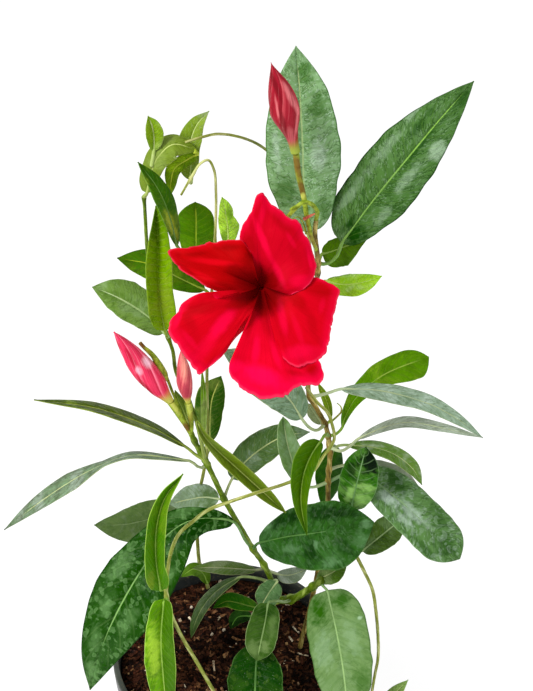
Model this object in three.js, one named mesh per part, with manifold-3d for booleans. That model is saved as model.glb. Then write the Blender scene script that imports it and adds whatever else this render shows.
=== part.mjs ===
// A potted mandevilla: a round nursery pot of bark and coir, eight twining stems, their leaves in
// opposite pairs, one open red flower and three spiral buds. Millimetres, +Z up, and the origin is
// the centre of the pot's underside.
import * as THREE from "three";
import { mergeVertices } from "three/addons/utils/BufferGeometryUtils.js";
import Module from "manifold-3d";

const wasm = await Module();
wasm.setup();

// Driving dimensions.
const POT_HEIGHT = 118;
const POT_RIM_RADIUS = 70;
const POT_BASE_RADIUS = 50;
const POT_WALL = 2;
const POT_FLOOR = 2.5;
const POT_EDGE = 1;
const RIM_BAND_HEIGHT = 14;
const RIM_BAND_LEAN = 0.8;
const RIM_STEP = 2.2;
const DRAIN_COUNT = 6;
const DRAIN_RADIUS = 5;
const DRAIN_CIRCLE = 36;
const DRAIN_SIDES = 10;
const DRAIN_CUT = 12;
const SOIL_LEVEL = 107;
const SOIL_SETBACK = 0.3;
const SOIL_SIDES = 24;
const SOIL_RINGS = 6;
const SOIL_MOUND = 3;
const SOIL_CRUMB = 1.1;
const CONTACT_GAP = 0.3;
const BLADE_THICKNESS = 0.7;
const PETAL_THICKNESS = 0.8;
const STALK_RADIUS = 0.8;
const STALK_SIDES = 4;
const STALK_SEAT = 0.12;
const ROOT_DEPTH = 14;
const STEM_SIDES = 6;
const STEM_TAPER = 0.25;
const STEM_RINGS_PER_POINT = 1.2;
const LARGE_LEAF_WIDTH = 38;
const POT_SIDES = 32;

// The habit of the plant is plotted on a front view that looks down at VIEW_TILT from VIEW_DISTANCE.
// A plotted place is [across, down, y]: steps of VIEW_STEP to the right and downwards on the plane
// through VIEW_TARGET, and y is how far behind the pot's axis the place lies, in millimetres.
const VIEW_TILT = THREE.MathUtils.degToRad(35);
const VIEW_DISTANCE = 560;
const VIEW_STEP = 0.5;
const VIEW_TARGET = new THREE.Vector3(24.3, 0, 343.9);
const VIEW_CENTRE = [266.5, 345.5];
const FORWARD = new THREE.Vector3(0, Math.cos(VIEW_TILT), -Math.sin(VIEW_TILT));
const UPWARD = new THREE.Vector3(0, Math.sin(VIEW_TILT), Math.cos(VIEW_TILT));
const EYE = VIEW_TARGET.clone().addScaledVector(FORWARD, -VIEW_DISTANCE);

const COLOURS = {
  deep: 0x1f4a22, mid: 0x2f6a35, grey: 0x4d7a5c, bright: 0x5f9a33, olive: 0x6b7a35,
  brown: 0x6b4a30, green: 0x6f8a3a, red: 0xc8061c, pink: 0xd02a48, pot: 0x1b1c1f, soil: 0x3a2318,
};

// Stems: their points from root or branch point to tip, and their radius. A rooted stem stands in
// a plain hole in the soil.
const STEMS = {
  stem_main: {
    colour: "brown", radius: 1.5, rooted: true,
    path: [[300, 648, 7], [312, 600, 8], [322, 545, 8], [328, 500, 7], [328, 482, 6], [330, 452, 4],
      [328, 436, 2], [325, 424, 0], [317, 409, -2], [310, 397, 0], [308, 385, 4], [310, 340, 8],
      [315, 300, 6], [318, 263, 0], [317, 251, -1], [315, 234, -2], [316, 220, -3]],
  },
  stem_left: {
    colour: "green", radius: 1.8, rooted: true,
    path: [[268, 650, 5.4], [271, 625, 7], [273, 600, 8], [272, 583, 8], [264, 565, 6],
      [253, 549, 4], [239, 525, 2], [224, 499, 0], [214, 478, -2], [205, 460, -4],
      [197, 446, -6], [191, 434, -8]],
  },
  stem_back: {
    colour: "olive", radius: 1.3, rooted: true,
    path: [[208, 588, 57], [200, 566, 50], [198, 549, 44], [197, 525, 36], [198, 501, 28],
      [204, 470, 14], [206, 456, 10], [207, 430, 6], [207, 372, 5], [208, 340, 5], [211, 300, 5],
      [214, 268, 4], [215, 243, 3], [216, 193, 0], [214, 170, -2], [208, 160, -4],
      [200, 164, -6], [191, 178, -7], [181, 195, -8]],
  },
  stem_upper_left: {
    colour: "green", radius: 1.1, from: "stem_left",
    path: [[205, 460, -4], [196, 420, 0], [185, 390, 4], [176, 372, 4], [173, 352, 4],
      [168, 337, 3], [160, 315, 7], [151, 280, 7], [147, 247, 5], [145, 212, 2], [144, 197, 0]],
  },
  stem_arching: {
    colour: "olive", radius: 1.1, rooted: true,
    path: [[232, 722, -48], [213, 690, -52], [195, 659, -54], [182, 637, -54], [172, 616, -51],
      [166, 592, -48], [168, 568, -45], [171, 552, -44], [179, 534, -44], [192, 522, -43],
      [208, 510, -41], [229, 502, -38], [256, 493, -32], [290, 482, -22], [313, 471, -13],
      [323, 457, -9], [334, 440, -7], [332, 424, -6], [327, 412, -7], [317, 402, -9],
      [306, 387, -6]],
  },
  stem_hanging: {
    colour: "green", radius: 1.1, from: "stem_main",
    path: [[328, 500, 7], [340, 520, 2], [350, 541, -4], [357, 557, -7], [365, 573, -9],
      [372.5, 590, -10], [376, 612, -11], [378, 636, -13], [378, 658, -15], [375, 674, -17],
      [372, 691, -18], [368, 712, -18], [366, 730, -18]],
  },
  stem_low: {
    colour: "brown", radius: 1.9, from: "stem_left",
    path: [[273, 600, 8], [291, 600, 4], [305, 594, 1], [315, 587, -2], [321, 583, -4]],
  },
  stem_top: {
    colour: "olive", radius: 0.8, from: "stem_main",
    path: [[318, 263, 0], [312, 256, 12], [308, 235, 22], [300, 200, 26], [285, 170, 27],
      [265, 149, 22], [243, 138, 12], [218, 134, 4], [199, 138, -3], [185, 142, -6]],
  },
};

// Leaves. rib runs from the blade's base to its tip, and stalk from the stem to the base. Each row
// of sides is [place along the rib, left width, left depth, right width, right depth]: the widths
// are in steps of the front view, and the depths tell how far each edge lies behind the rib. peak
// is the widest place, base and tip round each end (higher is blunter), wave ripples the margin.
const LEAVES = {
  leaf_top: {
    colour: "mid", stem: "stem_main", stalk: [[318, 263, 0], [315, 248, 5]],
    rib: [[311, 232, 7], [304, 185, 8], [302, 145, 9], [299, 97, 10], [296, 46, 12]],
    sides: [[0.5, 38, -3, 38, -3]], peak: 0.5, base: 2.2, tip: 1.9, wave: 0.5,
  },
  leaf_top_right: {
    colour: "deep", stem: "stem_main", stalk: [[318, 263, 0], [327, 264, 1], [337, 256, 2]],
    rib: [[343, 242, 4], [373, 199, 6], [405, 158, 10], [438, 119, 16], [474.5, 81, 24]],
    sides: [[0.5, 33, 1, 29, -5]], peak: 0.45, base: 2.2, tip: 1.9, wave: 0.5,
  },
  leaf_top_back: {
    colour: "deep", stem: "stem_main", stalk: [[317, 272, 1.7], [319, 262, 8]],
    rib: [[322, 254, 14], [335, 248, 19], [353, 241, 25], [374, 236, 31], [392, 228, 36]],
    sides: [[0.4, 11, 2, 16, 0]], peak: 0.4, base: 2.4, tip: 1.9, wave: 0.4,
  },
  leaf_bright_right: {
    colour: "bright", stem: "stem_main", stalk: [[316, 288, 4], [320, 284, 4]],
    rib: [[326, 281, 2], [340, 284, 0], [358, 283, -1], [382, 276, -2]],
    sides: [[0.5, 10, 5, 13, -3]], peak: 0.45, base: 1.8, tip: 1.9, wave: 0.8,
  },
  leaf_tip_bright: {
    colour: "bright", stem: "stem_back", stalk: [[191, 178, -7], [191, 183, -1]],
    rib: [[190, 180, 5], [191, 160, 5], [191, 140, 5], [197, 124, 4], [209, 111, 3]],
    sides: [[0.45, 12, 3, 11, -3]], peak: 0.5, base: 1.8, tip: 1.7, wave: 0.6,
  },
  leaf_pointed: {
    colour: "deep", stem: "stem_back", stalk: [[215, 243, 3], [202, 256, -5], [188, 256, -9]],
    rib: [[177, 246, -11], [171, 220, -14], [163, 198, -15], [154, 182, -15], [138, 162, -15]],
    sides: [[0.5, 9, -5, 10, 4]], peak: 0.5, base: 1.8, tip: 1.8, wave: 0.4,
  },
  leaf_folded: {
    colour: "bright", stem: "stem_upper_left", stalk: [[168, 337, 3], [167, 336, -1]],
    rib: [[165, 331, -3], [160, 305, -4], [158, 275, -5], [158, 245, -6], [156, 206, -7]],
    sides: [[0.5, 12, -8, 14, -8]], peak: 0.5, base: 2, tip: 1.8, wave: 0.5,
  },
  leaf_left_upper: {
    colour: "deep", stem: "stem_back", stalk: [[211, 300, 5], [209, 294, 9]],
    rib: [[205, 290, 12], [180, 278, 17], [150, 264, 25], [117, 258, 34]],
    sides: [[0.5, 14, -5, 14, 7]], peak: 0.55, base: 1.8, tip: 1.9, wave: 0.4,
  },
  leaf_left_middle: {
    colour: "mid", stem: "stem_upper_left", stalk: [[168, 337, 3], [169, 336, 8]],
    rib: [[164, 333, 10], [150, 318, 14], [128, 303, 18], [108, 293, 20], [92, 288, 22]],
    sides: [[0.5, 16, -4, 20, 6]], peak: 0.5, base: 2.2, tip: 1.7, wave: 0.4,
  },
  leaf_middle_back: {
    colour: "deep", stem: "stem_back", stalk: [[214, 268, 4], [205, 268, 8]],
    rib: [[197, 262, 11], [196, 240, 13], [196, 220, 14], [195, 202, 14]],
    sides: [[0.5, 16, 2, 18, -2]], peak: 0.5, base: 2, tip: 3.4, wave: 0.5,
  },
  leaf_small_wavy: {
    colour: "bright", stem: "stem_back", stalk: [[215, 256, 3.5], [222, 253, 7]],
    rib: [[228, 247, 9], [228, 230, 10], [226, 214, 10], [222, 197, 10]],
    sides: [[0.45, 9, -2, 10, 2]], peak: 0.45, base: 1.8, tip: 1.8, wave: 1,
  },
  leaf_long_left: {
    colour: "olive", stem: "stem_left", stalk: [[205, 460, -4], [196, 455, -6]],
    rib: [[186, 447, -7], [160, 430, -12], [128, 416, -18], [90, 405, -25], [33, 399, -36]],
    sides: [[0.5, 5.5, -9, 6, 9]], peak: 0.42, base: 1.8, tip: 1.9, wave: 0.5,
  },
  leaf_twisted_left: {
    colour: "grey", stem: "stem_left", stalk: [[207, 464, -3.5], [201, 468, -5]],
    rib: [[190, 461, -8], [160, 455, -10], [130, 454, -10], [102, 464, -8], [66, 483, -4],
      [30, 508, 2], [3, 531, 8]],
    sides: [[0.2, 5, -9, 5, 9], [0.42, 2.8, -9, 2.8, 9], [0.6, 9.5, -6, 8.5, 6],
      [0.8, 10, -5, 10, 5]],
    peak: 0.55, base: 1.8, tip: 1.9, wave: 1,
  },
  leaf_back_grey: {
    colour: "grey", stem: "stem_back", stalk: [[198, 501, 28], [194, 506, 29]],
    rib: [[188, 509, 30], [160, 516, 33], [128, 524, 36], [94, 525, 42]],
    sides: [[0.5, 18, -4, 18, 6]], peak: 0.55, base: 2, tip: 1.9, wave: 0.5,
  },
  leaf_arch_upper: {
    colour: "bright", stem: "stem_arching", stalk: [[166.2, 587, -47.6], [163, 588, -51]],
    rib: [[161, 591, -54], [156, 560, -54], [157, 525, -53], [165, 498, -51], [183, 474, -48]],
    sides: [[0.45, 10, -7, 10, -7]], peak: 0.42, base: 2, tip: 1.8, wave: 0.5,
  },
  leaf_arch_lower: {
    colour: "bright", stem: "stem_arching", stalk: [[166.3, 597, -48.4], [167, 601, -52]],
    rib: [[164, 602, -54], [160, 640, -57], [163, 685, -59], [168, 722, -60]],
    sides: [[0.5, 14, -6, 17, -6]], peak: 0.5, base: 2.2, tip: 2, wave: 0.4,
  },
  leaf_big_left: {
    colour: "deep", stem: "stem_left", stalk: [[253, 549, 4], [245, 540, 1], [240, 530, -1]],
    rib: [[234, 522, -2], [206, 518, -5], [182, 524, -10], [160, 543, -17], [140, 572, -27],
      [118, 610, -38], [100, 652, -46], [90, 690, -50]],
    sides: [[0.12, 22, -4, 16, 3], [0.35, 35, -6, 24, 5], [0.6, 38, -7, 33, 4],
      [0.8, 36, -6, 38, 4]],
    peak: 0.55, base: 2.2, tip: 2, wave: 0.7,
  },
  leaf_pale_back: {
    colour: "grey", stem: "stem_left", stalk: [[224, 499, 0], [222, 499, 4]],
    rib: [[218, 498, 7], [205, 497, 10], [190, 500, 13], [171, 505, 16]],
    sides: [[0.5, 9, -4, 9, 6]], peak: 0.5, base: 2, tip: 1.9, wave: 0.4,
  },
  leaf_olive_strip: {
    colour: "olive", stem: "stem_left", stalk: [[205, 460, -4], [202, 446, -9]],
    rib: [[197, 421, -12], [204, 436, -13], [217, 450, -14], [240, 471, -15], [262, 491, -16],
      [286, 513, -17]],
    sides: [[0.15, 5, -4, 5, -4], [0.4, 7.5, -7, 7.5, -7]], peak: 0.5, base: 2.2, tip: 3.2, wave: 0.4,
  },
  leaf_centre_back: {
    colour: "deep", stem: "stem_left", stalk: [[224, 499, 0], [227, 490, 3]],
    rib: [[232, 480, 6], [243, 466, 11], [262, 450, 18], [284, 438, 25], [310, 433, 32]],
    sides: [[0.4, 18, 5, 16, -5]], peak: 0.42, base: 2.2, tip: 1.8, wave: 0.7,
  },
  leaf_centre_folded: {
    colour: "grey", stem: "stem_main", stalk: [[328, 482, 6], [314, 487, 1], [302, 486, -3]],
    rib: [[299, 484, -5], [293, 464, -6], [287, 442, -6], [283, 417, -5]],
    sides: [[0.5, 11, -4, 12, -4], [0.8, 8, -3, 8, -3]], peak: 0.5, base: 1.8, tip: 5, wave: 0.4,
  },
  leaf_centre_hanging: {
    colour: "bright", stem: "stem_main", stalk: [[328, 436, 2], [327, 434, -8], [324, 436, -14]],
    rib: [[321, 441, -18], [312, 454, -22], [304, 474, -28], [301, 502, -35], [307, 536, -40]],
    sides: [[0.25, 9, -4, 15, -5], [0.6, 9, -5, 11, -5]], peak: 0.3, base: 2.4, tip: 1.8, wave: 0.5,
  },
  leaf_centre_dark: {
    colour: "deep", stem: "stem_main", stalk: [[329, 444, 3], [333, 446, 8]],
    rib: [[335, 446, 12], [331, 463, 16], [328, 486, 19], [323, 508, 21]],
    sides: [[0.45, 13, 4, 14, 0]], peak: 0.45, base: 2.2, tip: 2, wave: 0.3,
  },
  leaf_under_flower: {
    colour: "grey", stem: "stem_main", stalk: [[325, 424, 0], [318, 430, -6], [310, 428, -12]],
    rib: [[302, 419, -16], [290, 400, -17], [268, 380, -18], [245, 362, -20], [222, 350, -21]],
    sides: [[0.5, 21, -2, 20, 3]], peak: 0.5, base: 2.2, tip: 2, wave: 0.4,
  },
  leaf_right_blunt: {
    colour: "bright", stem: "stem_main", stalk: [[328, 436, 2], [336, 434, 5]],
    rib: [[342, 428, 8], [347, 412, 11], [360, 392, 18], [383, 373, 26], [408, 361, 34],
      [428, 356, 40]],
    sides: [[0.5, 11, 5, 14, -5]], peak: 0.6, base: 1.6, tip: 3, wave: 0.5,
  },
  leaf_right_long: {
    colour: "grey", stem: "stem_main", stalk: [[310, 397, 0], [325, 394, 2]],
    rib: [[341, 389, 3], [370, 389, 7], [402, 394, 12], [435, 405, 18], [462, 420, 22],
      [482, 438, 25]],
    sides: [[0.5, 9, 7, 9, -7]], peak: 0.5, base: 1.7, tip: 1.9, wave: 0.5,
  },
  leaf_right_narrow: {
    colour: "grey", stem: "stem_main", stalk: [[329.5, 447, 3.3], [341, 451, -1], [350, 446, -2]],
    rib: [[358, 439, -3], [376, 430, -8], [405, 421, -14], [440, 426, -22], [482, 438, -31]],
    sides: [[0.45, 6, 8, 5, -7]], peak: 0.42, base: 1.8, tip: 1.9, wave: 0.5,
  },
  leaf_right_drooping: {
    colour: "deep", stem: "stem_main", stalk: [[330, 452, 4], [338, 446, 8]],
    rib: [[348, 445, 10], [372, 446, 13], [395, 455, 14], [411, 469, 13], [421, 485, 12]],
    sides: [[0.5, 7, 8, 7, -6]], peak: 0.5, base: 1.8, tip: 2, wave: 0.5,
  },
  leaf_right_curled: {
    colour: "deep", stem: "stem_hanging", stalk: [[340, 520, 2], [346, 515, -1]],
    rib: [[351, 509, -3], [354, 495, -7], [359, 474, -11], [366, 447, -13]],
    sides: [[0.5, 18, 4, 20, -6]], peak: 0.5, base: 2.6, tip: 2.8, wave: 0.8,
  },
  leaf_right_big: {
    colour: "deep", stem: "stem_main", stalk: [[328, 482, 6], [345, 474, 8]],
    rib: [[362, 472, 5], [379, 484, -1], [398, 499, -8], [418, 517, -16], [440, 539, -25],
      [460, 559, -32]],
    sides: [[0.5, 26, 5, 23, -5]], peak: 0.55, base: 2.2, tip: 4.5, wave: 0.6,
  },
  leaf_right_edge: {
    colour: "grey", stem: "stem_main", stalk: [[329, 470, 5], [340, 466, 13]],
    rib: [[356, 464, 18], [380, 467, 20], [400, 474, 21], [420, 488, 20]],
    sides: [[0.5, 7, 6, 7, -4]], peak: 0.5, base: 2, tip: 2, wave: 0.3,
  },
  leaf_right_lower: {
    colour: "grey", stem: "stem_hanging", stalk: [[350, 541, -4], [356, 549, 1]],
    rib: [[362, 551, 6], [377, 539, 13], [392, 527, 19], [408, 515, 25]],
    sides: [[0.5, 15, 2, 15, -2]], peak: 0.5, base: 2.2, tip: 2.2, wave: 0.5,
  },
  leaf_wide_centre: {
    colour: "deep", stem: "stem_left", stalk: [[253, 549, 4], [256, 545, -1]],
    rib: [[260, 541, -5], [285, 536, -12], [315, 533, -17], [345, 528, -19], [374, 525, -19]],
    sides: [[0.5, 30, 3, 33, -3]], peak: 0.5, base: 2.4, tip: 3.6, wave: 0.6,
  },
  leaf_front_right: {
    colour: "mid", stem: "stem_low", stalk: [[321, 583, -4], [324, 587, -7]],
    rib: [[327, 590, -9], [333, 616, -17], [338, 640, -26], [344, 677, -39], [348, 722, -53]],
    sides: [[0.5, 29, -3, 30, 2]], peak: 0.45, base: 3, tip: 3, wave: 0.6,
  },
  leaf_crinkled: {
    colour: "grey", stem: "stem_left", stalk: [[272, 583, 8], [276, 580, 2]],
    rib: [[277, 582, -2], [269, 593, -7], [260, 608, -12]],
    sides: [[0.5, 12, 2, 12, -2]], peak: 0.5, base: 2.4, tip: 2.6, wave: 1.2,
  },
  leaf_spoon: {
    colour: "mid", stem: "stem_low", stalk: [[291, 600, 4], [284, 602, -6], [277, 601, -14]],
    rib: [[267, 604, -19], [264, 622, -25], [259, 641, -31], [256, 662, -38]],
    sides: [[0.5, 15, -2, 15, 2]], peak: 0.5, base: 2.8, tip: 3.4, wave: 0.5,
  },
  leaf_front_dark: {
    colour: "deep", stem: "stem_left", stalk: [[271, 625, 7], [266, 628, -4], [261, 634, -16]],
    rib: [[258, 645, -24], [256, 665, -33], [255, 690, -43], [254, 722, -53]],
    sides: [[0.5, 28, -2, 28, -2]], peak: 0.6, base: 2.2, tip: 2, wave: 0.5,
  },
  leaf_dusty_back: {
    colour: "grey", stem: "stem_left", stalk: [[264, 565, 6], [262, 569, 11]],
    rib: [[256, 570, 15], [232, 568, 25], [210, 567, 34], [192, 568, 40]],
    sides: [[0.5, 7, -8, 7, 8]], peak: 0.5, base: 2, tip: 1.9, wave: 0.4,
  },
  leaf_narrow_low: {
    colour: "grey", stem: "stem_left", stalk: [[272, 583, 8], [256, 578, 5]],
    rib: [[240, 577, 3], [223, 586, 2], [205, 603, 1], [195, 622, -2], [190, 638, -4]],
    sides: [[0.5, 6, -7, 6, 7]], peak: 0.45, base: 1.8, tip: 1.8, wave: 0.5,
  },
  leaf_centre_upright: {
    colour: "deep", stem: "stem_back", stalk: [[206, 456, 10], [210, 446, 14]],
    rib: [[210, 441, 16], [210, 420, 17], [212, 399, 18], [221, 376, 18]],
    sides: [[0.3, 14, 3, 12, -3], [0.7, 18, 3, 14, -3]], peak: 0.5, base: 2.2, tip: 2.4, wave: 0.4,
  },
};

// Small young leaves, each fused to the stem that it grows from.
const SPROUTS = {
  stem_upper_left: {
    sprout_tip: {
      rib: [[154, 151, -1], [154, 138, -1], [152, 126, -2], [148, 116, -2]],
      sides: [[0.5, 8, -2, 10, -2]], stalk: [[152, 166, -1]], colour: "bright",
    },
    sprout_cupped: {
      rib: [[147, 193, -1], [150, 176, -1], [158, 157, -2], [173, 144, -2], [198, 150, 0]],
      sides: [[0.2, 8, 3, 9, -3], [0.6, 13, 3, 12, -3]], stalk: [[144, 197, 0]], colour: "bright",
      base: 3, tip: 2.2,
    },
    sprout_fold: {
      rib: [[198, 154, 0], [187, 160, 0], [174, 170, 1], [170, 196, 1]],
      sides: [[0.5, 8, 3, 9, -2]], stalk: [[186, 147, -1]], colour: "mid", base: 2.6,
    },
    sprout_pale_strip: {
      rib: [[203, 442, -3], [204, 405, -1], [202, 370, 0]],
      sides: [[0.5, 3, -1.5, 3, -1.5]], stalk: [[202, 450, -3]], colour: "bright",
    },
  },
  stem_main: {
    sprout_grey: {
      rib: [[322, 424, 3], [315, 414, 6], [307, 403, 8]],
      sides: [[0.5, 7, 1, 6, -1]], stalk: [[325, 424, 0]], colour: "grey",
    },
    sprout_bright_strip: {
      rib: [[331, 418, 4], [327, 402, 6], [318, 383, 7]],
      sides: [[0.5, 4, -1.5, 4, -1.5]], stalk: [[325, 424, 0], [329, 422, 2]], colour: "bright",
    },
  },
  stem_back: {
    sprout_soil_back: {
      rib: [[200, 568, 47], [191, 573, 44], [180, 579, 39]],
      sides: [[0.5, 7, -3, 6, 3]], stalk: [[200, 566, 50]], colour: "bright",
    },
  },
  stem_left: {
    sprout_over_soil: {
      rib: [[258, 608, 4], [242, 604, 2], [227, 601, 0], [213, 608, -3]],
      sides: [[0.5, 7, -4, 9, 4]], stalk: [[273, 600, 8]], colour: "mid",
    },
    sprout_round: {
      rib: [[252, 616, 3], [238, 617, 0], [230, 629, -3]],
      sides: [[0.5, 7, -1, 7, 1]], stalk: [[271, 625, 7], [262, 617, 5]], colour: "deep",
    },
    sprout_bud_back: {
      rib: [[189, 427, 1], [184, 412, 2], [178, 400, 2], [175, 390, 2]],
      sides: [[0.5, 6, 2, 7, -1]], stalk: [[194, 441, -7], [193, 434, -3]], colour: "deep",
    },
    sprout_right_grey: {
      rib: [[277, 574, 14], [289, 575, 19], [307, 569, 25]],
      sides: [[0.45, 7, 5, 9, -5]], stalk: [[264, 565, 6], [270, 571, 11]], colour: "grey",
    },
  },
  stem_low: {
    sprout_curled: {
      rib: [[318, 579, -1], [333, 574, -3], [352, 562, -5]],
      sides: [[0.45, 8, 2, 9, -3]], stalk: [[314, 587.5, -1.8], [316, 583, -1]], colour: "deep",
    },
  },
  stem_hanging: {
    sprout_end_right: {
      rib: [[372, 722, -19], [385, 706, -22], [397, 691, -26], [408, 680, -28]],
      sides: [[0.5, 8, 2, 8, -2]], stalk: [[366, 730, -18]], colour: "mid",
    },
    sprout_end_down: {
      rib: [[365, 735, -19], [362, 750, -22], [360, 768, -25]],
      sides: [[0.5, 9, 2, 9, -2]], stalk: [[366, 730, -18]], colour: "mid",
    },
  },
};

// The open flower: five petals that overlap like the vanes of a pinwheel round a deep throat. Each
// margin runs clockwise, and its petal starts and ends at the two throat angles, clockwise from up.
const FLOWER_CENTRE = [261, 287];
const FLOWER_Y = -45;
const THROAT_RING = 10.2;
const THROAT_DEPTH = 10;
const PINWHEEL_TWIST = 2;
const PETAL_REFLEX = 3;
const PETAL_RUFFLE = 1.1;
const PETALS = [
  {
    from: -44, to: 50,
    margin: [[243, 262], [239, 237], [250, 214], [262, 192], [285, 210], [300, 222], [309, 243],
      [316, 262], [315, 276], [300, 290], [284, 293]],
  },
  {
    from: 47, to: 122,
    margin: [[286, 281], [300, 278], [315, 276], [335, 282], [340, 288], [334, 315], [329, 338],
      [321, 355], [305, 366], [291, 364], [281, 356], [270, 330]],
  },
  {
    from: 119, to: 196,
    margin: [[285, 325], [305, 348], [320, 363], [324, 375], [315, 382], [295, 386], [285, 395],
      [272, 398], [260, 396], [245, 387], [233, 380], [229, 367], [231, 357], [240, 348],
      [247, 330]],
  },
  {
    from: 193, to: 266,
    margin: [[252, 322], [242, 335], [222, 355], [200, 372], [187, 361], [170, 338], [168, 328],
      [173, 315], [181, 308], [190, 297], [205, 292], [231, 296]],
  },
  {
    from: 263, to: 322,
    margin: [[236, 292], [216, 291], [196, 280], [179, 268], [168, 250], [179, 247.5],
      [202, 245], [210, 242], [239, 239], [250, 258]],
  },
];

// The funnel's outside and its hollow throat: [depth behind the flower's face, radius].
const FUNNEL = [[5, 14.5], [10, 11.8], [18, 9], [27, 5.5], [42, 4.5]];
const THROAT = [[-1, 15], [5, 12], [10, 8.8], [16, 5], [20, 0.6]];
const FUNNEL_SIDES = 10;
const PETAL_ROWS = 5;
const PETAL_COLUMNS = 9;

const FLOWER_STALK = [[316, 220, -3], [317, 211, -5], [311, 204, -8], [304, 202, -10],
  [296, 208, -11], [289, 215, -11], [283, 222, -10], [272, 240, -6], [264, 262, -3],
  [261, 276, -3]];

// The flower stalk's radius, and the calyx's length and its radius at either end.
const LOOP_RADIUS = 1;
const CALYX_LENGTH = 8;
const CALYX_RADIUS = 2.4;
const CALYX_END_RADIUS = 1.1;

// Buds: their path from base to tip and their widest radius, and the stalks that carry them.
const BUDS = {
  bud_top: { path: [[295.5, 152, -6], [287, 118, -8], [278, 85, -9], [271, 62.5, -10]], radius: 6.3 },
  bud_left: {
    path: [[170, 401, -11], [150, 377, -13], [130, 352, -15], [114, 332, -17]], radius: 5.9,
  },
  bud_small: { path: [[188, 402, -8], [185, 384, -9], [183, 366, -9], [181, 350, -9]], radius: 3.9 },
};
const BUD_RIDGES = 5;
const BUD_TURN = 2.4;
const BUD_RELIEF = 0.09;
const BUD_NECK = 0.34;
const BUD_WIDEST = 0.42;
const BUD_TIP = 0.04;

const BUD_STALKS = {
  bud_top_stalk: {
    stem: "stem_main",
    branches: [{
      path: [[317, 251, -1], [311, 236, -6], [307, 218, -5], [304, 198, -4], [298, 172, -5],
        [295.8, 153, -6]],
      radius: 1.5,
    }],
  },
  bud_pair_stalk: {
    stem: "stem_left",
    branches: [
      { path: [[191, 434, -8], [182, 419, -9], [170.6, 401.8, -11]], radius: 1.9 },
      { path: [[191, 434, -8], [191, 420, -7], [188.2, 403, -8]], radius: 1.7 },
      { path: [[187, 426, -8], [174, 396, -3], [162, 368, -3], [140, 343, -4]], radius: 1 },
    ],
  },
};

/** The point of the front view's sight line through (across, down) at a depth behind the target. */
function inView(across, down, depth) {
  const reach = VIEW_DISTANCE + depth;
  const scale = (VIEW_STEP * reach) / VIEW_DISTANCE;
  return EYE.clone()
    .addScaledVector(FORWARD, reach)
    .addScaledVector(UPWARD, (VIEW_CENTRE[1] - down) * scale)
    .add(new THREE.Vector3((across - VIEW_CENTRE[0]) * scale, 0, 0));
}

/** The depth at which the sight line of height down meets the upright plane at y. */
function depthOf(down, y) {
  const rise = ((VIEW_CENTRE[1] - down) * VIEW_STEP) / VIEW_DISTANCE;
  return (y - EYE.y) / (FORWARD.y + rise * UPWARD.y) - VIEW_DISTANCE;
}

/** A plotted place as a point in space. */
function at([across, down, y]) {
  return inView(across, down, depthOf(down, y));
}

/** A closed three.js geometry as a solid, with its faces turned outwards. */
function solid(geometry) {
  const bare = geometry.clone();
  bare.deleteAttribute("normal");
  bare.deleteAttribute("uv");
  const merged = mergeVertices(bare, 1e-4);
  const places = Float32Array.from(merged.attributes.position.array);
  const faces = Uint32Array.from(merged.index.array);
  const mesh = new wasm.Mesh({ numProp: 3, vertProperties: places, triVerts: faces });
  const shape = new wasm.Manifold(mesh);
  if (shape.volume() > 0) {
    return shape;
  }
  for (let k = 0; k < faces.length; k += 3) {
    const first = faces[k];
    faces[k] = faces[k + 1];
    faces[k + 1] = first;
  }
  return new wasm.Manifold(new wasm.Mesh({ numProp: 3, vertProperties: places, triVerts: faces }));
}

/** The largest body of a solid: scraps that a cut leaves loose are dropped. */
function mainBody(shape) {
  const bodies = shape.decompose();
  return bodies.reduce((best, body) => (body.volume() > best.volume() ? body : best));
}

/** A named mesh of a solid. */
function piece(name, shape, colour, roughness = 0.5) {
  const cut = mainBody(shape).getMesh();
  const geometry = new THREE.BufferGeometry();
  geometry.setAttribute("position", new THREE.BufferAttribute(Float32Array.from(cut.vertProperties), 3));
  geometry.setIndex(Array.from(cut.triVerts));
  geometry.computeVertexNormals();
  const material = new THREE.MeshStandardMaterial({
    color: COLOURS[colour],
    roughness,
    metalness: 0,
  });
  const mesh = new THREE.Mesh(geometry, material);
  mesh.name = name;
  return mesh;
}

/** A closed geometry from rings of points, each joined to the next and capped at both ends. */
function loft(rings) {
  const sides = rings[0].length;
  const places = rings.flat().flatMap((point) => point.toArray());
  const faces = [];
  for (let i = 0; i < rings.length - 1; i += 1) {
    for (let j = 0; j < sides; j += 1) {
      const a = i * sides + j;
      const b = i * sides + ((j + 1) % sides);
      faces.push(a, b, a + sides, b, b + sides, a + sides);
    }
  }
  const last = (rings.length - 1) * sides;
  for (let j = 1; j < sides - 1; j += 1) {
    faces.push(0, j + 1, j, last, last + j, last + j + 1);
  }
  const geometry = new THREE.BufferGeometry();
  geometry.setAttribute("position", new THREE.Float32BufferAttribute(places, 3));
  geometry.setIndex(faces);
  return geometry;
}

/** A round bar along points, whose radius is a function of the share of its length. */
function bar(points, radiusAt, steps, sides = 6) {
  const curve = new THREE.CatmullRomCurve3(points);
  const frames = curve.computeFrenetFrames(steps, false);
  const rings = [];
  for (let i = 0; i <= steps; i += 1) {
    const share = i / steps;
    const centre = curve.getPointAt(share);
    const ring = [];
    for (let j = 0; j < sides; j += 1) {
      const angle = (2 * Math.PI * j) / sides;
      const radius = radiusAt(share, angle);
      ring.push(centre.clone()
        .addScaledVector(frames.normals[i], radius * Math.cos(angle))
        .addScaledVector(frames.binormals[i], radius * Math.sin(angle)));
    }
    rings.push(ring);
  }
  return loft(rings);
}

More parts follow.
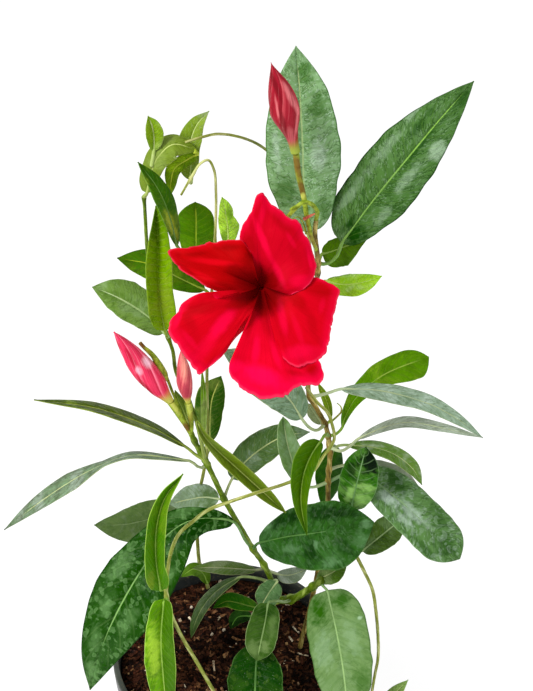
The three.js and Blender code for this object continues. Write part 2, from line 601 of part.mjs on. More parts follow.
/** A thin closed wall round a grid of points: both faces have the same diagonals. */
function wall(grid, thickness) {
  const rows = grid.length;
  const columns = grid[0].length;
  const places = [];
  for (const side of [0.5, -0.5]) {
    for (let i = 0; i < rows; i += 1) {
      for (let j = 0; j < columns; j += 1) {
        const along = grid[Math.min(i + 1, rows - 1)][j].clone().sub(grid[Math.max(i - 1, 0)][j]);
        const across = grid[i][Math.min(j + 1, columns - 1)].clone().sub(grid[i][Math.max(j - 1, 0)]);
        const normal = along.cross(across).normalize();
        places.push(...grid[i][j].clone().addScaledVector(normal, side * thickness).toArray());
      }
    }
  }
  const under = rows * columns;
  const faces = [];
  for (let i = 0; i < rows - 1; i += 1) {
    for (let j = 0; j < columns - 1; j += 1) {
      const a = i * columns + j;
      const b = a + columns;
      faces.push(a, b, a + 1, b, b + 1, a + 1);
      faces.push(under + a, under + a + 1, under + b, under + b, under + a + 1, under + b + 1);
    }
  }
  const rim = [];
  for (let j = 0; j < columns - 1; j += 1) {
    rim.push(j);
  }
  for (let i = 0; i < rows - 1; i += 1) {
    rim.push(i * columns + columns - 1);
  }
  for (let j = columns - 1; j > 0; j -= 1) {
    rim.push((rows - 1) * columns + j);
  }
  for (let i = rows - 1; i > 0; i -= 1) {
    rim.push(i * columns);
  }
  rim.forEach((a, k) => {
    const b = rim[(k + 1) % rim.length];
    faces.push(a, b, under + a, b, under + b, under + a);
  });
  const geometry = new THREE.BufferGeometry();
  geometry.setAttribute("position", new THREE.Float32BufferAttribute(places, 3));
  geometry.setIndex(faces);
  return geometry;
}

/** How wide a leaf is at a share of its length, against its widest. */
function leafProfile(share, { peak = 0.5, base = 2, tip = 1.9 }) {
  if (share < peak) {
    return (1 - (1 - share / peak) ** base) ** (1 / base);
  }
  return 1 - ((share - peak) / (1 - peak)) ** tip;
}

/** The row of sides at a share of the rib, between the two rows next to it. */
function sidesAt(rows, share) {
  const next = rows.findIndex((row) => row[0] >= share);
  if (next <= 0) {
    return next === 0 ? rows[0] : rows[rows.length - 1];
  }
  const [low, high] = [rows[next - 1], rows[next]];
  const mix = (share - low[0]) / (high[0] - low[0]);
  return low.map((value, k) => value + (high[k] - value) * mix);
}

const BLADE_END = 0.9;
const BLADE_CAMBER = 0.1;
const WAVES_PER_SIDE = 3;

/** The grid of points of a leaf's blade, from base to tip and from its left margin to its right. */
function bladeGrid(leaf, rows, halfColumns) {
  const rib = new THREE.CatmullRomCurve3(leaf.rib.map(([h, v, y]) => new THREE.Vector3(h, v, y)));
  const grid = [];
  for (let i = 0; i <= rows; i += 1) {
    const share = i / rows;
    const centre = rib.getPointAt(share);
    const along = rib.getTangentAt(share);
    const length = Math.hypot(along.x, along.y);
    const depth = depthOf(centre.y, centre.z);
    const profile = leafProfile(share, leaf);
    const [, leftWidth, leftDepth, rightWidth, rightDepth] = sidesAt(leaf.sides, share);
    const row = [];
    for (let j = -halfColumns; j <= halfColumns; j += 1) {
      const out = Math.abs(j) / halfColumns;
      const left = j < 0;
      const width = Math.max((left ? leftWidth : rightWidth) * profile, BLADE_END) * out;
      const turn = left ? 1 : -1;
      const margin = Math.sin(2 * Math.PI * WAVES_PER_SIDE * share + (left ? 0 : 2));
      const fold = (left ? leftDepth : rightDepth) * profile * out;
      const camber = -BLADE_CAMBER * width * (1 - out) * 2;
      const wave = (leaf.wave ?? 0) * margin * profile * out * out;
      row.push(inView(
        centre.x + (turn * width * along.y) / length,
        centre.y - (turn * width * along.x) / length,
        depth + fold + camber + wave,
      ));
    }
    grid.push(row);
  }
  return grid;
}

/** The solid of a blade and the stalk that carries it. */
function leafSolid(leaf, rows, halfColumns) {
  const blade = solid(wall(bladeGrid(leaf, rows, halfColumns), BLADE_THICKNESS));
  const seat = leaf.rib[0].map((value, k) => value + (leaf.rib[1][k] - value) * STALK_SEAT);
  const points = [...leaf.stalk, leaf.rib[0], seat].map(at);
  return blade.add(solid(bar(points, () => STALK_RADIUS, points.length, STALK_SIDES)));
}

/** The points of a stem in space: a rooted one starts below the soil. */
function stemPoints(stem) {
  const points = stem.path.map(at);
  if (stem.rooted) {
    points.unshift(points[0].clone().add(new THREE.Vector3(0, 0, -ROOT_DEPTH)));
  }
  return points;
}

/** The solid of a stem, which tapers a little to its end, thickened by extra. */
function stemSolid(stem, extra = 0) {
  const points = stemPoints(stem);
  const radiusAt = (share) => stem.radius * (1 - STEM_TAPER * share) + extra;
  return solid(bar(points, radiusAt, Math.round(points.length * STEM_RINGS_PER_POINT), STEM_SIDES));
}

/** The pot: a flared wall with a stepped rim band and drain holes in its flat floor. */
function potSolid() {
  const bandFoot = POT_HEIGHT - RIM_BAND_HEIGHT;
  const rim = POT_RIM_RADIUS;
  const neck = rim - RIM_STEP;
  const profile = [
    [0, 0],
    [POT_BASE_RADIUS - POT_EDGE, 0],
    [POT_BASE_RADIUS, POT_EDGE],
    [neck, bandFoot],
    [rim - RIM_BAND_LEAN, bandFoot + POT_EDGE],
    [rim, POT_HEIGHT - 2 * POT_EDGE],
    [rim - POT_EDGE, POT_HEIGHT],
    [neck - POT_WALL + POT_EDGE, POT_HEIGHT],
    [neck - POT_WALL, bandFoot],
    [POT_BASE_RADIUS - POT_WALL, POT_FLOOR],
    [0, POT_FLOOR],
  ].map(([r, z]) => new THREE.Vector2(r, z));
  const body = new THREE.LatheGeometry(profile, POT_SIDES);
  body.rotateX(Math.PI / 2);
  let pot = solid(body);
  for (let k = 0; k < DRAIN_COUNT; k += 1) {
    const angle = (2 * Math.PI * (k + 0.5)) / DRAIN_COUNT;
    const hole = new THREE.CylinderGeometry(DRAIN_RADIUS, DRAIN_RADIUS, DRAIN_CUT, DRAIN_SIDES);
    hole.rotateX(Math.PI / 2);
    hole.translate(DRAIN_CIRCLE * Math.cos(angle), DRAIN_CIRCLE * Math.sin(angle), POT_FLOOR);
    pot = pot.subtract(solid(hole));
  }
  return pot;
}

/** The soil: it fills the pot, and its crumbly top is raised by a formula. */
function soilSolid() {
  const floor = POT_FLOOR + CONTACT_GAP;
  const bottom = POT_BASE_RADIUS - POT_WALL - CONTACT_GAP - SOIL_SETBACK;
  const top = POT_RIM_RADIUS - RIM_STEP - POT_WALL - CONTACT_GAP - SOIL_SETBACK;
  const profile = [[0, floor], [bottom, floor], [top, SOIL_LEVEL]];
  for (let k = SOIL_RINGS - 1; k >= 0; k -= 1) {
    profile.push([(top * k) / SOIL_RINGS, SOIL_LEVEL]);
  }
  const body = new THREE.LatheGeometry(profile.map(([r, z]) => new THREE.Vector2(r, z)), SOIL_SIDES);
  body.rotateX(Math.PI / 2);
  const places = body.attributes.position;
  for (let k = 0; k < places.count; k += 1) {
    const [x, y, z] = [places.getX(k), places.getY(k), places.getZ(k)];
    const share = Math.hypot(x, y) / top;
    if (z > SOIL_LEVEL - 1 && share < 0.99) {
      const crumb = Math.sin(x * 0.41 + 1.3) * Math.cos(y * 0.37) + Math.sin(x * 0.17 - y * 0.29);
      places.setZ(k, z + SOIL_MOUND * (1 - share ** 2) + SOIL_CRUMB * crumb * (1 - share ** 4));
    }
  }
  return solid(body);
}

/** A point of the flower, at a place of the front view and a depth behind its face. */
function inFlower(across, down, depth) {
  return inView(across, down, depthOf(FLOWER_CENTRE[1], FLOWER_Y) + depth);
}

/** The grid of points of a petal, from the throat to its margin. */
function petalGrid(petal, rows, columns) {
  const margin = new THREE.CatmullRomCurve3(petal.margin.map(([h, v]) => new THREE.Vector3(h, v, 0)));
  const grid = [];
  for (let i = 0; i <= rows; i += 1) {
    const out = (i / rows) ** 1.5;
    const row = [];
    for (let j = 0; j <= columns; j += 1) {
      const turn = j / columns;
      const angle = THREE.MathUtils.degToRad(petal.from + (petal.to - petal.from) * turn);
      const inner = [
        FLOWER_CENTRE[0] + THROAT_RING * Math.sin(angle),
        FLOWER_CENTRE[1] - THROAT_RING * Math.cos(angle),
      ];
      const outer = margin.getPointAt(turn);
      const ruffle = PETAL_RUFFLE * Math.sin(6 * Math.PI * turn + 1) * out ** 3;
      const depth = THROAT_DEPTH * (1 - out) ** 9 + PETAL_REFLEX * out ** 3 + ruffle
        + PINWHEEL_TWIST * (1 - 2 * turn) * Math.min(1, 3 * out);
      row.push(inFlower(
        inner[0] + (outer.x - inner[0]) * out,
        inner[1] + (outer.y - inner[1]) * out,
        depth,
      ));
    }
    grid.push(row);
  }
  return grid;
}

/** The corolla: five petals joined to a funnel with a hollow throat. */
function corollaSolid() {
  const ringOf = ([depth, radius]) => Array.from({ length: FUNNEL_SIDES }, (_, k) => {
    const angle = (2 * Math.PI * k) / FUNNEL_SIDES;
    return inFlower(
      FLOWER_CENTRE[0] + radius * Math.cos(angle),
      FLOWER_CENTRE[1] + radius * Math.sin(angle),
      depth,
    );
  });
  const outside = solid(loft(FUNNEL.map(ringOf)));
  let corolla = outside.subtract(solid(loft(THROAT.map(ringOf))));
  for (const petal of PETALS) {
    const grid = petalGrid(petal, PETAL_ROWS, PETAL_COLUMNS);
    corolla = corolla.add(solid(wall(grid, PETAL_THICKNESS)));
  }
  return corolla;
}

/** The flower's stalk, which loops from the stem to a small calyx behind the corolla. */
function flowerStalkSolid() {
  const tubeEnd = FUNNEL[FUNNEL.length - 1][0];
  const seat = [CONTACT_GAP + 0.2, 0.25 * CALYX_LENGTH, 0.6 * CALYX_LENGTH, CALYX_LENGTH]
    .map((depth) => inFlower(...FLOWER_CENTRE, tubeEnd + depth));
  const stalk = bar([...FLOWER_STALK.map(at), seat[3], seat[2]], () => LOOP_RADIUS, 18, 5);
  const calyx = bar(
    seat,
    (share) => CALYX_RADIUS - (CALYX_RADIUS - CALYX_END_RADIUS) * share ** 2,
    3,
    7,
  );
  return solid(stalk).add(solid(calyx));
}

/** A closed bud: a spindle whose rolled petals wind round it in ridges. */
function budSolid(bud) {
  const radiusAt = (share, angle) => {
    const swell = share < BUD_WIDEST
      ? BUD_NECK + (1 - BUD_NECK) * Math.sin((Math.PI / 2) * (share / BUD_WIDEST)) ** 1.4
      : Math.max(Math.cos((Math.PI / 2) * ((share - BUD_WIDEST) / (1 - BUD_WIDEST))), BUD_TIP) ** 0.85;
    const ridge = 1 + BUD_RELIEF * Math.cos(BUD_RIDGES * (angle - BUD_TURN * share));
    return bud.radius * swell * ridge;
  };
  return solid(bar(bud.path.map(at), radiusAt, 11, 10));
}

const plant = new THREE.Group();
plant.name = "mandevilla";

const thickStems = {};
const rooted = [];
for (const [name, stem] of Object.entries(STEMS)) {
  thickStems[name] = stemSolid(stem, CONTACT_GAP);
  if (stem.rooted) {
    rooted.push(thickStems[name]);
  }
}

plant.add(piece("pot", potSolid(), "pot", 0.45));
plant.add(piece("soil", rooted.reduce((soil, stem) => soil.subtract(stem), soilSolid()), "soil", 0.95));

for (const [name, stem] of Object.entries(STEMS)) {
  let shape = stemSolid(stem);
  for (const sprout of Object.values(SPROUTS[name] ?? {})) {
    shape = shape.add(leafSolid(sprout, 4, 1));
  }
  if (stem.from) {
    shape = shape.subtract(thickStems[stem.from]);
  }
  plant.add(piece(name, shape, stem.colour, 0.6));
}

for (const [name, leaf] of Object.entries(LEAVES)) {
  const widest = Math.max(...leaf.sides.map((row) => Math.hypot(row[1] + row[3], row[4] - row[2])));
  const large = widest > LARGE_LEAF_WIDTH;
  const shape = leafSolid(leaf, large ? 9 : 7, large ? 2 : 1);
  plant.add(piece(name, shape.subtract(thickStems[leaf.stem]), leaf.colour, 0.4));
}

plant.add(piece("flower_corolla", corollaSolid(), "red", 0.5));
plant.add(piece("flower_stalk", flowerStalkSolid().subtract(thickStems.stem_main), "green", 0.5));
for (const [name, bud] of Object.entries(BUDS)) {
  plant.add(piece(name, budSolid(bud), "pink", 0.5));
}
for (const [name, stalk] of Object.entries(BUD_STALKS)) {
  const bars = stalk.branches.map((branch) => solid(bar(
    branch.path.map(at),
    (share) => branch.radius * (0.6 + 0.4 * share),
    5,
    5,
  )));
  const shape = bars.reduce((joined, next) => joined.add(next));
  plant.add(piece(name, shape.subtract(thickStems[stalk.stem]), "green", 0.5));
}

export default plant;
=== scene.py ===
"""The looks of a potted mandevilla: living leaves, stems, one open flower, buds, soil and pot.

Every piece is built in millimetres on the front view that its plan is plotted on, and is scaled to
metres when it is finished, so that it lies exactly where its solid lies.
"""

import logging
import math
import random
from collections.abc import Callable, Iterable, Sequence
from dataclasses import dataclass, field
from enum import Enum
from functools import cached_property

import bmesh
import bpy
from mathutils import Matrix, Vector, noise

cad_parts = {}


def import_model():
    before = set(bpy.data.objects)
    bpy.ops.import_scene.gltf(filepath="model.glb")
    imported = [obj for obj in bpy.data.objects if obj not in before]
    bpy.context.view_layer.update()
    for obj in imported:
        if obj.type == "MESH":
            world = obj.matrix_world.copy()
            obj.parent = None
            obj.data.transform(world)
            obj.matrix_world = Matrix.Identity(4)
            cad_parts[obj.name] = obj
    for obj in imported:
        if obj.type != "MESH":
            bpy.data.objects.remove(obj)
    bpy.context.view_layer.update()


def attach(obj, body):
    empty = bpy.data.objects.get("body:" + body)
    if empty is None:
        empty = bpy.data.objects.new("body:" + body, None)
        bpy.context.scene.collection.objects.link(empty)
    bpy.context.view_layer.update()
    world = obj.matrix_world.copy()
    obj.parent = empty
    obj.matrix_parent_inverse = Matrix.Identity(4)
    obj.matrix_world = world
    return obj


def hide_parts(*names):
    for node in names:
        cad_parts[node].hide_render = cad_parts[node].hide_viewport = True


LOG = logging.getLogger("mandevilla")

Place = tuple[float, float, float]
Paint = tuple[float, float, float, float]


class Bark(Enum):
    """The skins that a stem can have; the value is its slot in the record."""

    BROWN = "stem_brown"
    GREEN = "stem_green"
    OLIVE = "stem_olive"


class Tone(Enum):
    """The tones that a leaf can have; the value is its slot in the record."""

    DEEP = "leaf_deep"
    MID = "leaf_mid"
    GREY = "leaf_grey"
    BRIGHT = "leaf_bright"
    OLIVE = "leaf_olive"


class Face(Enum):
    """Which side of a leaf is turned to the front."""

    UPPER = 1
    LOWER = -1


@dataclass(frozen=True)
class StemPlan:
    """A stem on the front view: its name, skin, radius in millimetres and route."""

    name: str
    bark: Bark
    radius: float
    rooted: bool
    path: tuple[Place, ...]
    taper: float = 0.25


@dataclass(frozen=True)
class LeafPlan:
    """A leaf on the front view: its stalk, its rib and the places of its margins beside the rib."""

    name: str
    tone: Tone
    node: str
    stalk: tuple[Place, ...]
    rib: tuple[Place, ...]
    sides: tuple[tuple[float, float, float, float, float], ...]
    peak: float = 0.5
    base: float = 2.0
    tip: float = 1.9
    wave: float = 0.0


@dataclass(frozen=True)
class Spot:
    """A soft spot of a surface, plotted on the front view; it is pale, or dark below zero.

    On leaves, petals and buds the pale spots are mostly painted sheen and highlights, and the dark ones
    mostly painted shade, with some of the surface's own darker tone. Its length runs clockwise from the
    right by its turn in degrees.
    """

    across: float
    down: float
    length: float
    width: float
    strength: float
    turn: float | None = None


STEMS = (
    StemPlan(
        "stem_main", Bark.BROWN, 1.5, True,
        ((300, 648, 7), (312, 600, 8), (322, 545, 8), (328, 500, 7), (328, 482, 6), (330, 452, 4),
            (328, 436, 2), (325, 424, 0), (317, 409, -2), (310, 397, 0), (308, 385, 4),
            (310, 340, 8), (315, 300, 6), (318, 263, 0), (317, 251, -1), (315, 234, -2),
            (316, 220, -3)),
    ),
    StemPlan(
        "stem_left", Bark.GREEN, 1.8, True,
        ((268, 650, 5.4), (271, 625, 7), (273, 600, 8), (272, 583, 8), (264, 565, 6),
            (253, 549, 4), (239, 525, 2), (224, 499, 0), (214, 478, -2), (205, 460, -4),
            (197, 446, -6), (191, 434, -8)),
    ),
    StemPlan(
        "stem_back", Bark.OLIVE, 1.3, True,
        ((208, 588, 57), (200, 566, 50), (198, 549, 44), (197, 525, 36), (198, 501, 28),
            (204, 470, 14), (206, 456, 10), (207, 430, 6), (207, 372, 5), (208, 340, 5),
            (211, 300, 5), (214, 268, 4), (215, 243, 3), (216, 193, 0), (214, 170, -2),
            (208, 160, -4), (200, 164, -6), (191, 178, -7), (181, 195, -8)),
        taper=0.58,
    ),
    StemPlan(
        "stem_upper_left", Bark.GREEN, 1.1, False,
        ((205, 460, -4), (196, 420, 0), (185, 390, 4), (176, 372, 4), (173, 352, 4), (168, 337, 3),
            (160, 315, 7), (151, 280, 7), (147, 247, 5), (145, 212, 2), (144, 197, 0)),
    ),
    StemPlan(
        "stem_arching", Bark.OLIVE, 1.1, True,
        ((232, 722, -48), (213, 690, -52), (195, 659, -54), (182, 637, -54), (172, 616, -51),
            (166, 592, -48), (168, 568, -45), (171, 552, -44), (179, 534, -44), (192, 522, -43),
            (208, 510, -41), (229, 502, -38), (256, 493, -32), (290, 482, -22), (313, 471, -13),
            (323, 457, -9), (334, 440, -7), (332, 424, -6), (327, 412, -7), (317, 402, -9),
            (306, 387, -6)),
    ),
    StemPlan(
        "stem_hanging", Bark.OLIVE, 1.1, False,
        ((328, 500, 7), (340, 520, 2), (350, 541, -4), (357, 557, -7), (365, 573, -9),
            (372.5, 590, -10), (376, 612, -11), (378, 636, -13), (378, 658, -15), (375, 674, -17),
            (372, 691, -18), (368, 712, -18), (366, 730, -18)),
    ),
    StemPlan(
        "stem_low", Bark.GREEN, 2.5, False,
        ((273, 600, 8), (291, 599, 4), (305, 592, 1), (315, 585, -2), (322, 579.5, -4)),
    ),
    StemPlan(
        "stem_top", Bark.OLIVE, 0.8, False,
        ((318, 263, 0), (312, 256, 12), (308, 235, 22), (300, 200, 26), (285, 170, 27),
            (265, 149, 22), (243, 138, 12), (218, 134, 4), (199, 138, -3), (185, 142, -6)),
    ),
)

LEAVES = (
    LeafPlan(
        "leaf_top", Tone.MID, "leaf_top",
        stalk=((318, 263, 0), (315, 248, 5)),
        rib=((311, 232, 7), (304, 185, 8), (302.5, 145, 9), (300, 97, 10), (296, 46, 12)),
        sides=((0.5, 38, -3, 38, -3),),
        peak=0.5, base=2.2, tip=1.9, wave=0.5,
    ),
    LeafPlan(
        "leaf_top_right", Tone.DEEP, "leaf_top_right",
        stalk=((318, 263, 0), (327, 264, 1), (337, 256, 2)),
        rib=((342, 243, 4), (372, 202, 6), (406, 160, 10), (441, 118, 16), (474, 81, 24)),
        sides=((0.1, 42, 1, 30, -5), (0.3, 36, 1, 34, -5), (0.6, 34, 1, 29.5, -5), (0.85, 32, 1, 29, -5)),
        peak=0.45, base=2.2, tip=1.9, wave=0.5,
    ),
    LeafPlan(
        "leaf_top_back", Tone.DEEP, "leaf_top_back",
        stalk=((317, 272, 1.7), (319, 262, 8)),
        rib=((322, 254, 14), (330, 252, 18), (340, 248, 22), (352, 244, 26), (368, 238, 30)),
        sides=((0.15, 11, 2, 18, 0), (0.45, 11, 2, 19, 0), (0.8, 11, 2, 12, 0)),
        peak=0.4, base=2.4, tip=1.9, wave=0.4,
    ),
    LeafPlan(
        "leaf_bright_right", Tone.BRIGHT, "leaf_bright_right",
        stalk=((316, 288, 4), (320, 284, 4)),
        rib=((326, 281, 2), (340, 284, 0), (358, 283, -1), (382, 276, -2)),
        sides=((0.5, 10, 5, 13, -3),),
        peak=0.45, base=1.8, tip=1.9, wave=0.8,
    ),
    LeafPlan(
        "leaf_tip_bright", Tone.BRIGHT, "leaf_tip_bright",
        stalk=((191, 178, -7), (191, 183, -1)),
        rib=((190, 180, 5), (191, 160, 5), (191, 140, 5), (197, 124, 4), (209, 111, 3)),
        sides=((0.1, 18, 3, 10, -3), (0.3, 14, 3, 9, -3), (0.6, 12, 3, 11, -3)),
        peak=0.5, base=1.8, tip=1.7, wave=0.6,
    ),
    LeafPlan(
        "leaf_pointed", Tone.DEEP, "leaf_pointed",
        stalk=((215, 243, 3), (202, 256, -5), (188, 256, -9)),
        rib=((177, 246, -11), (171, 220, -14), (163, 198, -15), (154, 182, -15), (138, 162, -15)),
        sides=((0.3, 8, -5, 9, 4), (0.7, 9, -5, 11, 4)),
        peak=0.5, base=1.8, tip=1.8, wave=0.4,
    ),
    LeafPlan(
        "leaf_folded", Tone.BRIGHT, "leaf_folded",
        stalk=((168, 337, 3), (167, 336, -1)),
        rib=((165, 331, -3), (160, 305, -4), (158, 275, -5), (158, 245, -6), (156, 206, -7)),
        sides=((0.05, 16, -8, 18, -8), (0.25, 12, -8, 15, -8), (0.7, 12, -8, 14, -8), (1, 9, -8, 20, -8)),
        peak=0.5, base=3, tip=1.8, wave=0.5,
    ),
    LeafPlan(
        "leaf_left_upper", Tone.DEEP, "leaf_left_upper",
        stalk=((211, 300, 5), (209, 294, 9)),
        rib=((205, 290, 12), (180, 278, 17), (150, 264, 25), (117, 258, 34)),
        sides=((0.4, 15, -5, 15, 7), (0.85, 17, -5, 16, 7)),
        peak=0.55, base=1.8, tip=1.9, wave=0.4,
    ),
    LeafPlan(
        "leaf_left_middle", Tone.MID, "leaf_left_middle",
        stalk=((168, 337, 3), (169, 336, 8)),
        rib=((164, 333, 10), (150, 318, 14), (128, 303, 18), (108, 293, 20), (92, 287, 22)),
        sides=((0.3, 17, -4, 20, 6), (0.8, 17, -4, 23, 6)),
        peak=0.5, base=2.2, tip=2.1, wave=0.4,
    ),
    LeafPlan(
        "leaf_middle_back", Tone.DEEP, "leaf_middle_back",
        stalk=((214, 268, 4), (205, 268, 8)),
        rib=((197, 262, 11), (196, 240, 13), (196, 220, 14), (195, 202, 14)),
        sides=((0.3, 17, 2, 18, -2), (0.8, 20, 2, 18, -2)),
        peak=0.5, base=2, tip=4.6, wave=0.5,
    ),
    LeafPlan(
        "leaf_small_wavy", Tone.BRIGHT, "leaf_small_wavy",
        stalk=((215, 256, 3.5), (222, 253, 7)),
        rib=((228, 247, 9), (228, 230, 10), (226, 214, 10), (222, 197, 10)),
        sides=((0.2, 9, -2, 11, 2), (0.42, 9, -2, 12, 2), (0.6, 9, -2, 8, 2),
            (0.72, 9, -2, 11, 2), (0.9, 10, -2, 14, 2)),
        peak=0.45, base=1.8, tip=1.8, wave=1,
    ),
    LeafPlan(
        "leaf_long_left", Tone.OLIVE, "leaf_long_left",
        stalk=((205, 460, -4), (196, 455, -6)),
        rib=((186, 447, -7), (160, 431.2, -12), (128, 417.6, -18), (90, 406.3, -25), (34, 399.6, -36)),
        sides=((0.5, 5.5, -9, 6, 9),),
        peak=0.42, base=1.8, tip=1.9, wave=0.5,
    ),
    LeafPlan(
        "leaf_twisted_left", Tone.GREY, "leaf_twisted_left",
        stalk=((207, 464, -3.5), (201, 468, -5)),
        rib=((190, 461, -8), (160, 456.5, -10), (130, 455, -10), (102, 464, -8), (66, 484, -4),
            (30, 509, 2), (4, 530, 8)),
        sides=((0.2, 5, -9, 5, 9), (0.42, 2.8, -9, 2.8, 9), (0.6, 9.5, -6, 8.5, 6),
            (0.8, 10, -5, 10, 5)),
        peak=0.55, base=1.8, tip=1.9, wave=1,
    ),
    LeafPlan(
        "leaf_back_grey", Tone.GREY, "leaf_back_grey",
        stalk=((198, 501, 28), (194, 506, 29)),
        rib=((188, 509, 30), (160, 516, 33), (128, 524, 36), (94, 525, 42)),
        sides=((0.3, 18, -4, 19, 6), (0.55, 20, -4, 17, 6), (0.85, 19, -4, 15, 6)),
        peak=0.55, base=2, tip=1.9, wave=0.5,
    ),
    LeafPlan(
        "leaf_arch_upper", Tone.BRIGHT, "leaf_arch_upper",
        stalk=((166.2, 587, -47.6), (163, 588, -51)),
        rib=((161, 591, -54), (156, 560, -54), (157, 525, -53), (165, 498, -51), (183, 474, -48)),
        sides=((0.08, 15, -7, 12, -7), (0.2, 11.5, -7, 8, -7), (0.45, 9.5, -7, 9.5, -7),
            (0.8, 10, -7, 9, -7)),
        peak=0.42, base=3.6, tip=1.8, wave=0.5,
    ),
    LeafPlan(
        "leaf_arch_lower", Tone.BRIGHT, "leaf_arch_lower",
        stalk=((166.3, 597, -48.4), (167, 601, -52)),
        rib=((164, 599, -54), (161, 640, -57), (164, 685, -59), (168, 722, -60)),
        sides=((0.05, 12, -6, 16, -6), (0.2, 12, -6, 16, -6), (0.5, 14, -6, 17, -6)),
        peak=0.5, base=3.4, tip=2, wave=0.4,
    ),
    LeafPlan(
        "leaf_big_left", Tone.DEEP, "leaf_big_left",
        stalk=((253, 549, 4), (245, 540, 1), (240, 530, -1)),
        rib=((234, 522, -2), (206, 518, -5), (182, 524, -10), (160, 543, -17), (140, 572, -27),
            (118, 610, -38), (100, 652, -46), (90, 690, -50)),
        sides=((0.12, 22, -4, 16, 3), (0.35, 36, -6, 25, 5), (0.5, 37, -6, 33, 5), (0.6, 38, -7, 34, 4),
            (0.7, 37, -7, 33, 4), (0.85, 36, -6, 35, 4)),
        peak=0.55, base=2.2, tip=2, wave=0.7,
    ),
    LeafPlan(
        "leaf_pale_back", Tone.GREY, "leaf_pale_back",
        stalk=((224, 499, 0), (222, 499, 4)),
        rib=((219, 499, 7), (205, 497, 10), (190, 499, 13), (169, 504, 16)),
        sides=((0.3, 14, -4, 14, 6), (0.7, 14, -4, 14, 6)),
        peak=0.5, base=2, tip=1.9, wave=0.4,
    ),
    LeafPlan(
        "leaf_olive_strip", Tone.OLIVE, "leaf_olive_strip",
        stalk=((205, 460, -4), (202, 446, -9)),
        rib=((197, 421, -12), (204, 436, -13), (217, 450, -14), (240, 471, -15), (262, 491, -16),
            (286, 513, -17)),
        sides=((0.15, 5, -4, 5, -4), (0.4, 7.5, -7, 7.5, -7)),
        peak=0.5, base=2.2, tip=3.2, wave=0.4,
    ),
    LeafPlan(
        "leaf_centre_back", Tone.DEEP, "leaf_centre_back",
        stalk=((224, 499, 0), (227, 490, 3)),
        rib=((232, 479, 6), (243, 464, 11), (262, 448, 18), (284, 436, 25), (310, 432, 32)),
        sides=((0.4, 17, 5, 16, -5), (0.7, 18, 5, 16, -5)),
        peak=0.42, base=2.2, tip=1.8, wave=0.7,
    ),
    LeafPlan(
        "leaf_centre_folded", Tone.GREY, "leaf_centre_folded",
        stalk=((328, 482, 6), (314, 487, 1), (302, 486, -3)),
        rib=((299, 484, -5), (293, 464, -6), (287, 442, -6), (283, 417, -5)),
        sides=((0.5, 11, -4, 12, -4), (0.8, 8, -3, 8, -3)),
        peak=0.5, base=1.8, tip=5, wave=0.4,
    ),
    LeafPlan(
        "leaf_centre_hanging", Tone.BRIGHT, "leaf_centre_hanging",
        stalk=((328, 436, 2), (327, 434, -8), (324, 436, -14)),
        rib=((321, 441, -18), (312, 454, -22), (304, 474, -28), (301, 502, -35), (307, 536, -40)),
        sides=((0.25, 9, -4, 15, -5), (0.6, 9, -5, 11, -5)),
        peak=0.3, base=2.4, tip=1.8, wave=0.5,
    ),
    LeafPlan(
        "leaf_centre_dark", Tone.DEEP, "leaf_centre_dark",
        stalk=((329, 444, 3), (333, 446, 8)),
        rib=((335, 446, 12), (331, 463, 16), (328, 486, 19), (323, 508, 21)),
        sides=((0.45, 13, 4, 14, 0),),
        peak=0.45, base=2.2, tip=2, wave=0.3,
    ),
    LeafPlan(
        "leaf_under_flower", Tone.GREY, "leaf_under_flower",
        stalk=((325, 424, 0), (318, 430, -6), (310, 428, -12)),
        rib=((302, 419, -16), (290, 400, -17), (268, 380, -18), (245, 362, -20), (222, 350, -21)),
        sides=((0.5, 21, -2, 20, 3),),
        peak=0.5, base=2.2, tip=2, wave=0.4,
    ),
    LeafPlan(
        "leaf_right_blunt", Tone.BRIGHT, "leaf_right_blunt",
        stalk=((328, 436, 2), (336, 434, 5)),
        rib=((342, 428, 8), (347, 412, 11), (360, 393, 18), (383, 375, 26), (408, 364, 34),
            (429, 357, 40)),
        sides=((0.2, 10, 5, 8, -5), (0.55, 14, 5, 12, -5), (0.85, 14, 5, 18, -5), (1, 12, 5, 26, -5)),
        peak=0.6, base=1.6, tip=6, wave=0.5,
    ),
    LeafPlan(
        "leaf_right_long", Tone.GREY, "leaf_right_long",
        stalk=((310, 397, 0), (325, 394, 2)),
        rib=((341, 389, 3), (370, 389, 7), (402, 395, 12), (435, 406, 18), (462, 421.5, 22),
            (483, 438, 25)),
        sides=((0.2, 9, 7, 13, -7), (0.5, 9, 7, 9, -7), (0.85, 8, 7, 9, -7)),
        peak=0.5, base=1.7, tip=1.9, wave=0.5,
    ),
    LeafPlan(
        "leaf_right_narrow", Tone.GREY, "leaf_right_narrow",
        stalk=((329.5, 447, 3.3), (341, 451, -1), (350, 446, -2)),
        rib=((358, 439, -3), (376, 430, -8), (405, 422, -14), (440, 427, -22), (482, 437, -31)),
        sides=((0.45, 6, 8, 5, -7),),
        peak=0.42, base=1.8, tip=1.9, wave=0.5,
    ),
    LeafPlan(
        "leaf_right_drooping", Tone.DEEP, "leaf_right_drooping",
        stalk=((330, 452, 4), (338, 446, 8)),
        rib=((348, 445, 10), (374, 447, 13), (398, 456, 14), (414, 470, 13), (422, 485, 12)),
        sides=((0.5, 7.5, 8, 7.5, -6), (0.8, 11, 8, 10, -6)),
        peak=0.5, base=1.8, tip=2, wave=0.5,
    ),
    LeafPlan(
        "leaf_right_curled", Tone.DEEP, "leaf_right_curled",
        stalk=((340, 520, 2), (346, 515, -1)),
        rib=((351, 509, -3), (354, 495, -7), (359, 474, -11), (366, 447, -13)),
        sides=((0.5, 18, 4, 20, -6),),
        peak=0.5, base=2.6, tip=2.8, wave=0.8,
    ),
    LeafPlan(
        "leaf_right_big", Tone.DEEP, "leaf_right_big",
        stalk=((328, 482, 6), (345, 474, 8)),
        rib=((362, 472, 5), (379, 484, -1), (398, 499, -8), (418, 517, -16), (440, 539, -25),
            (460, 559, -32)),
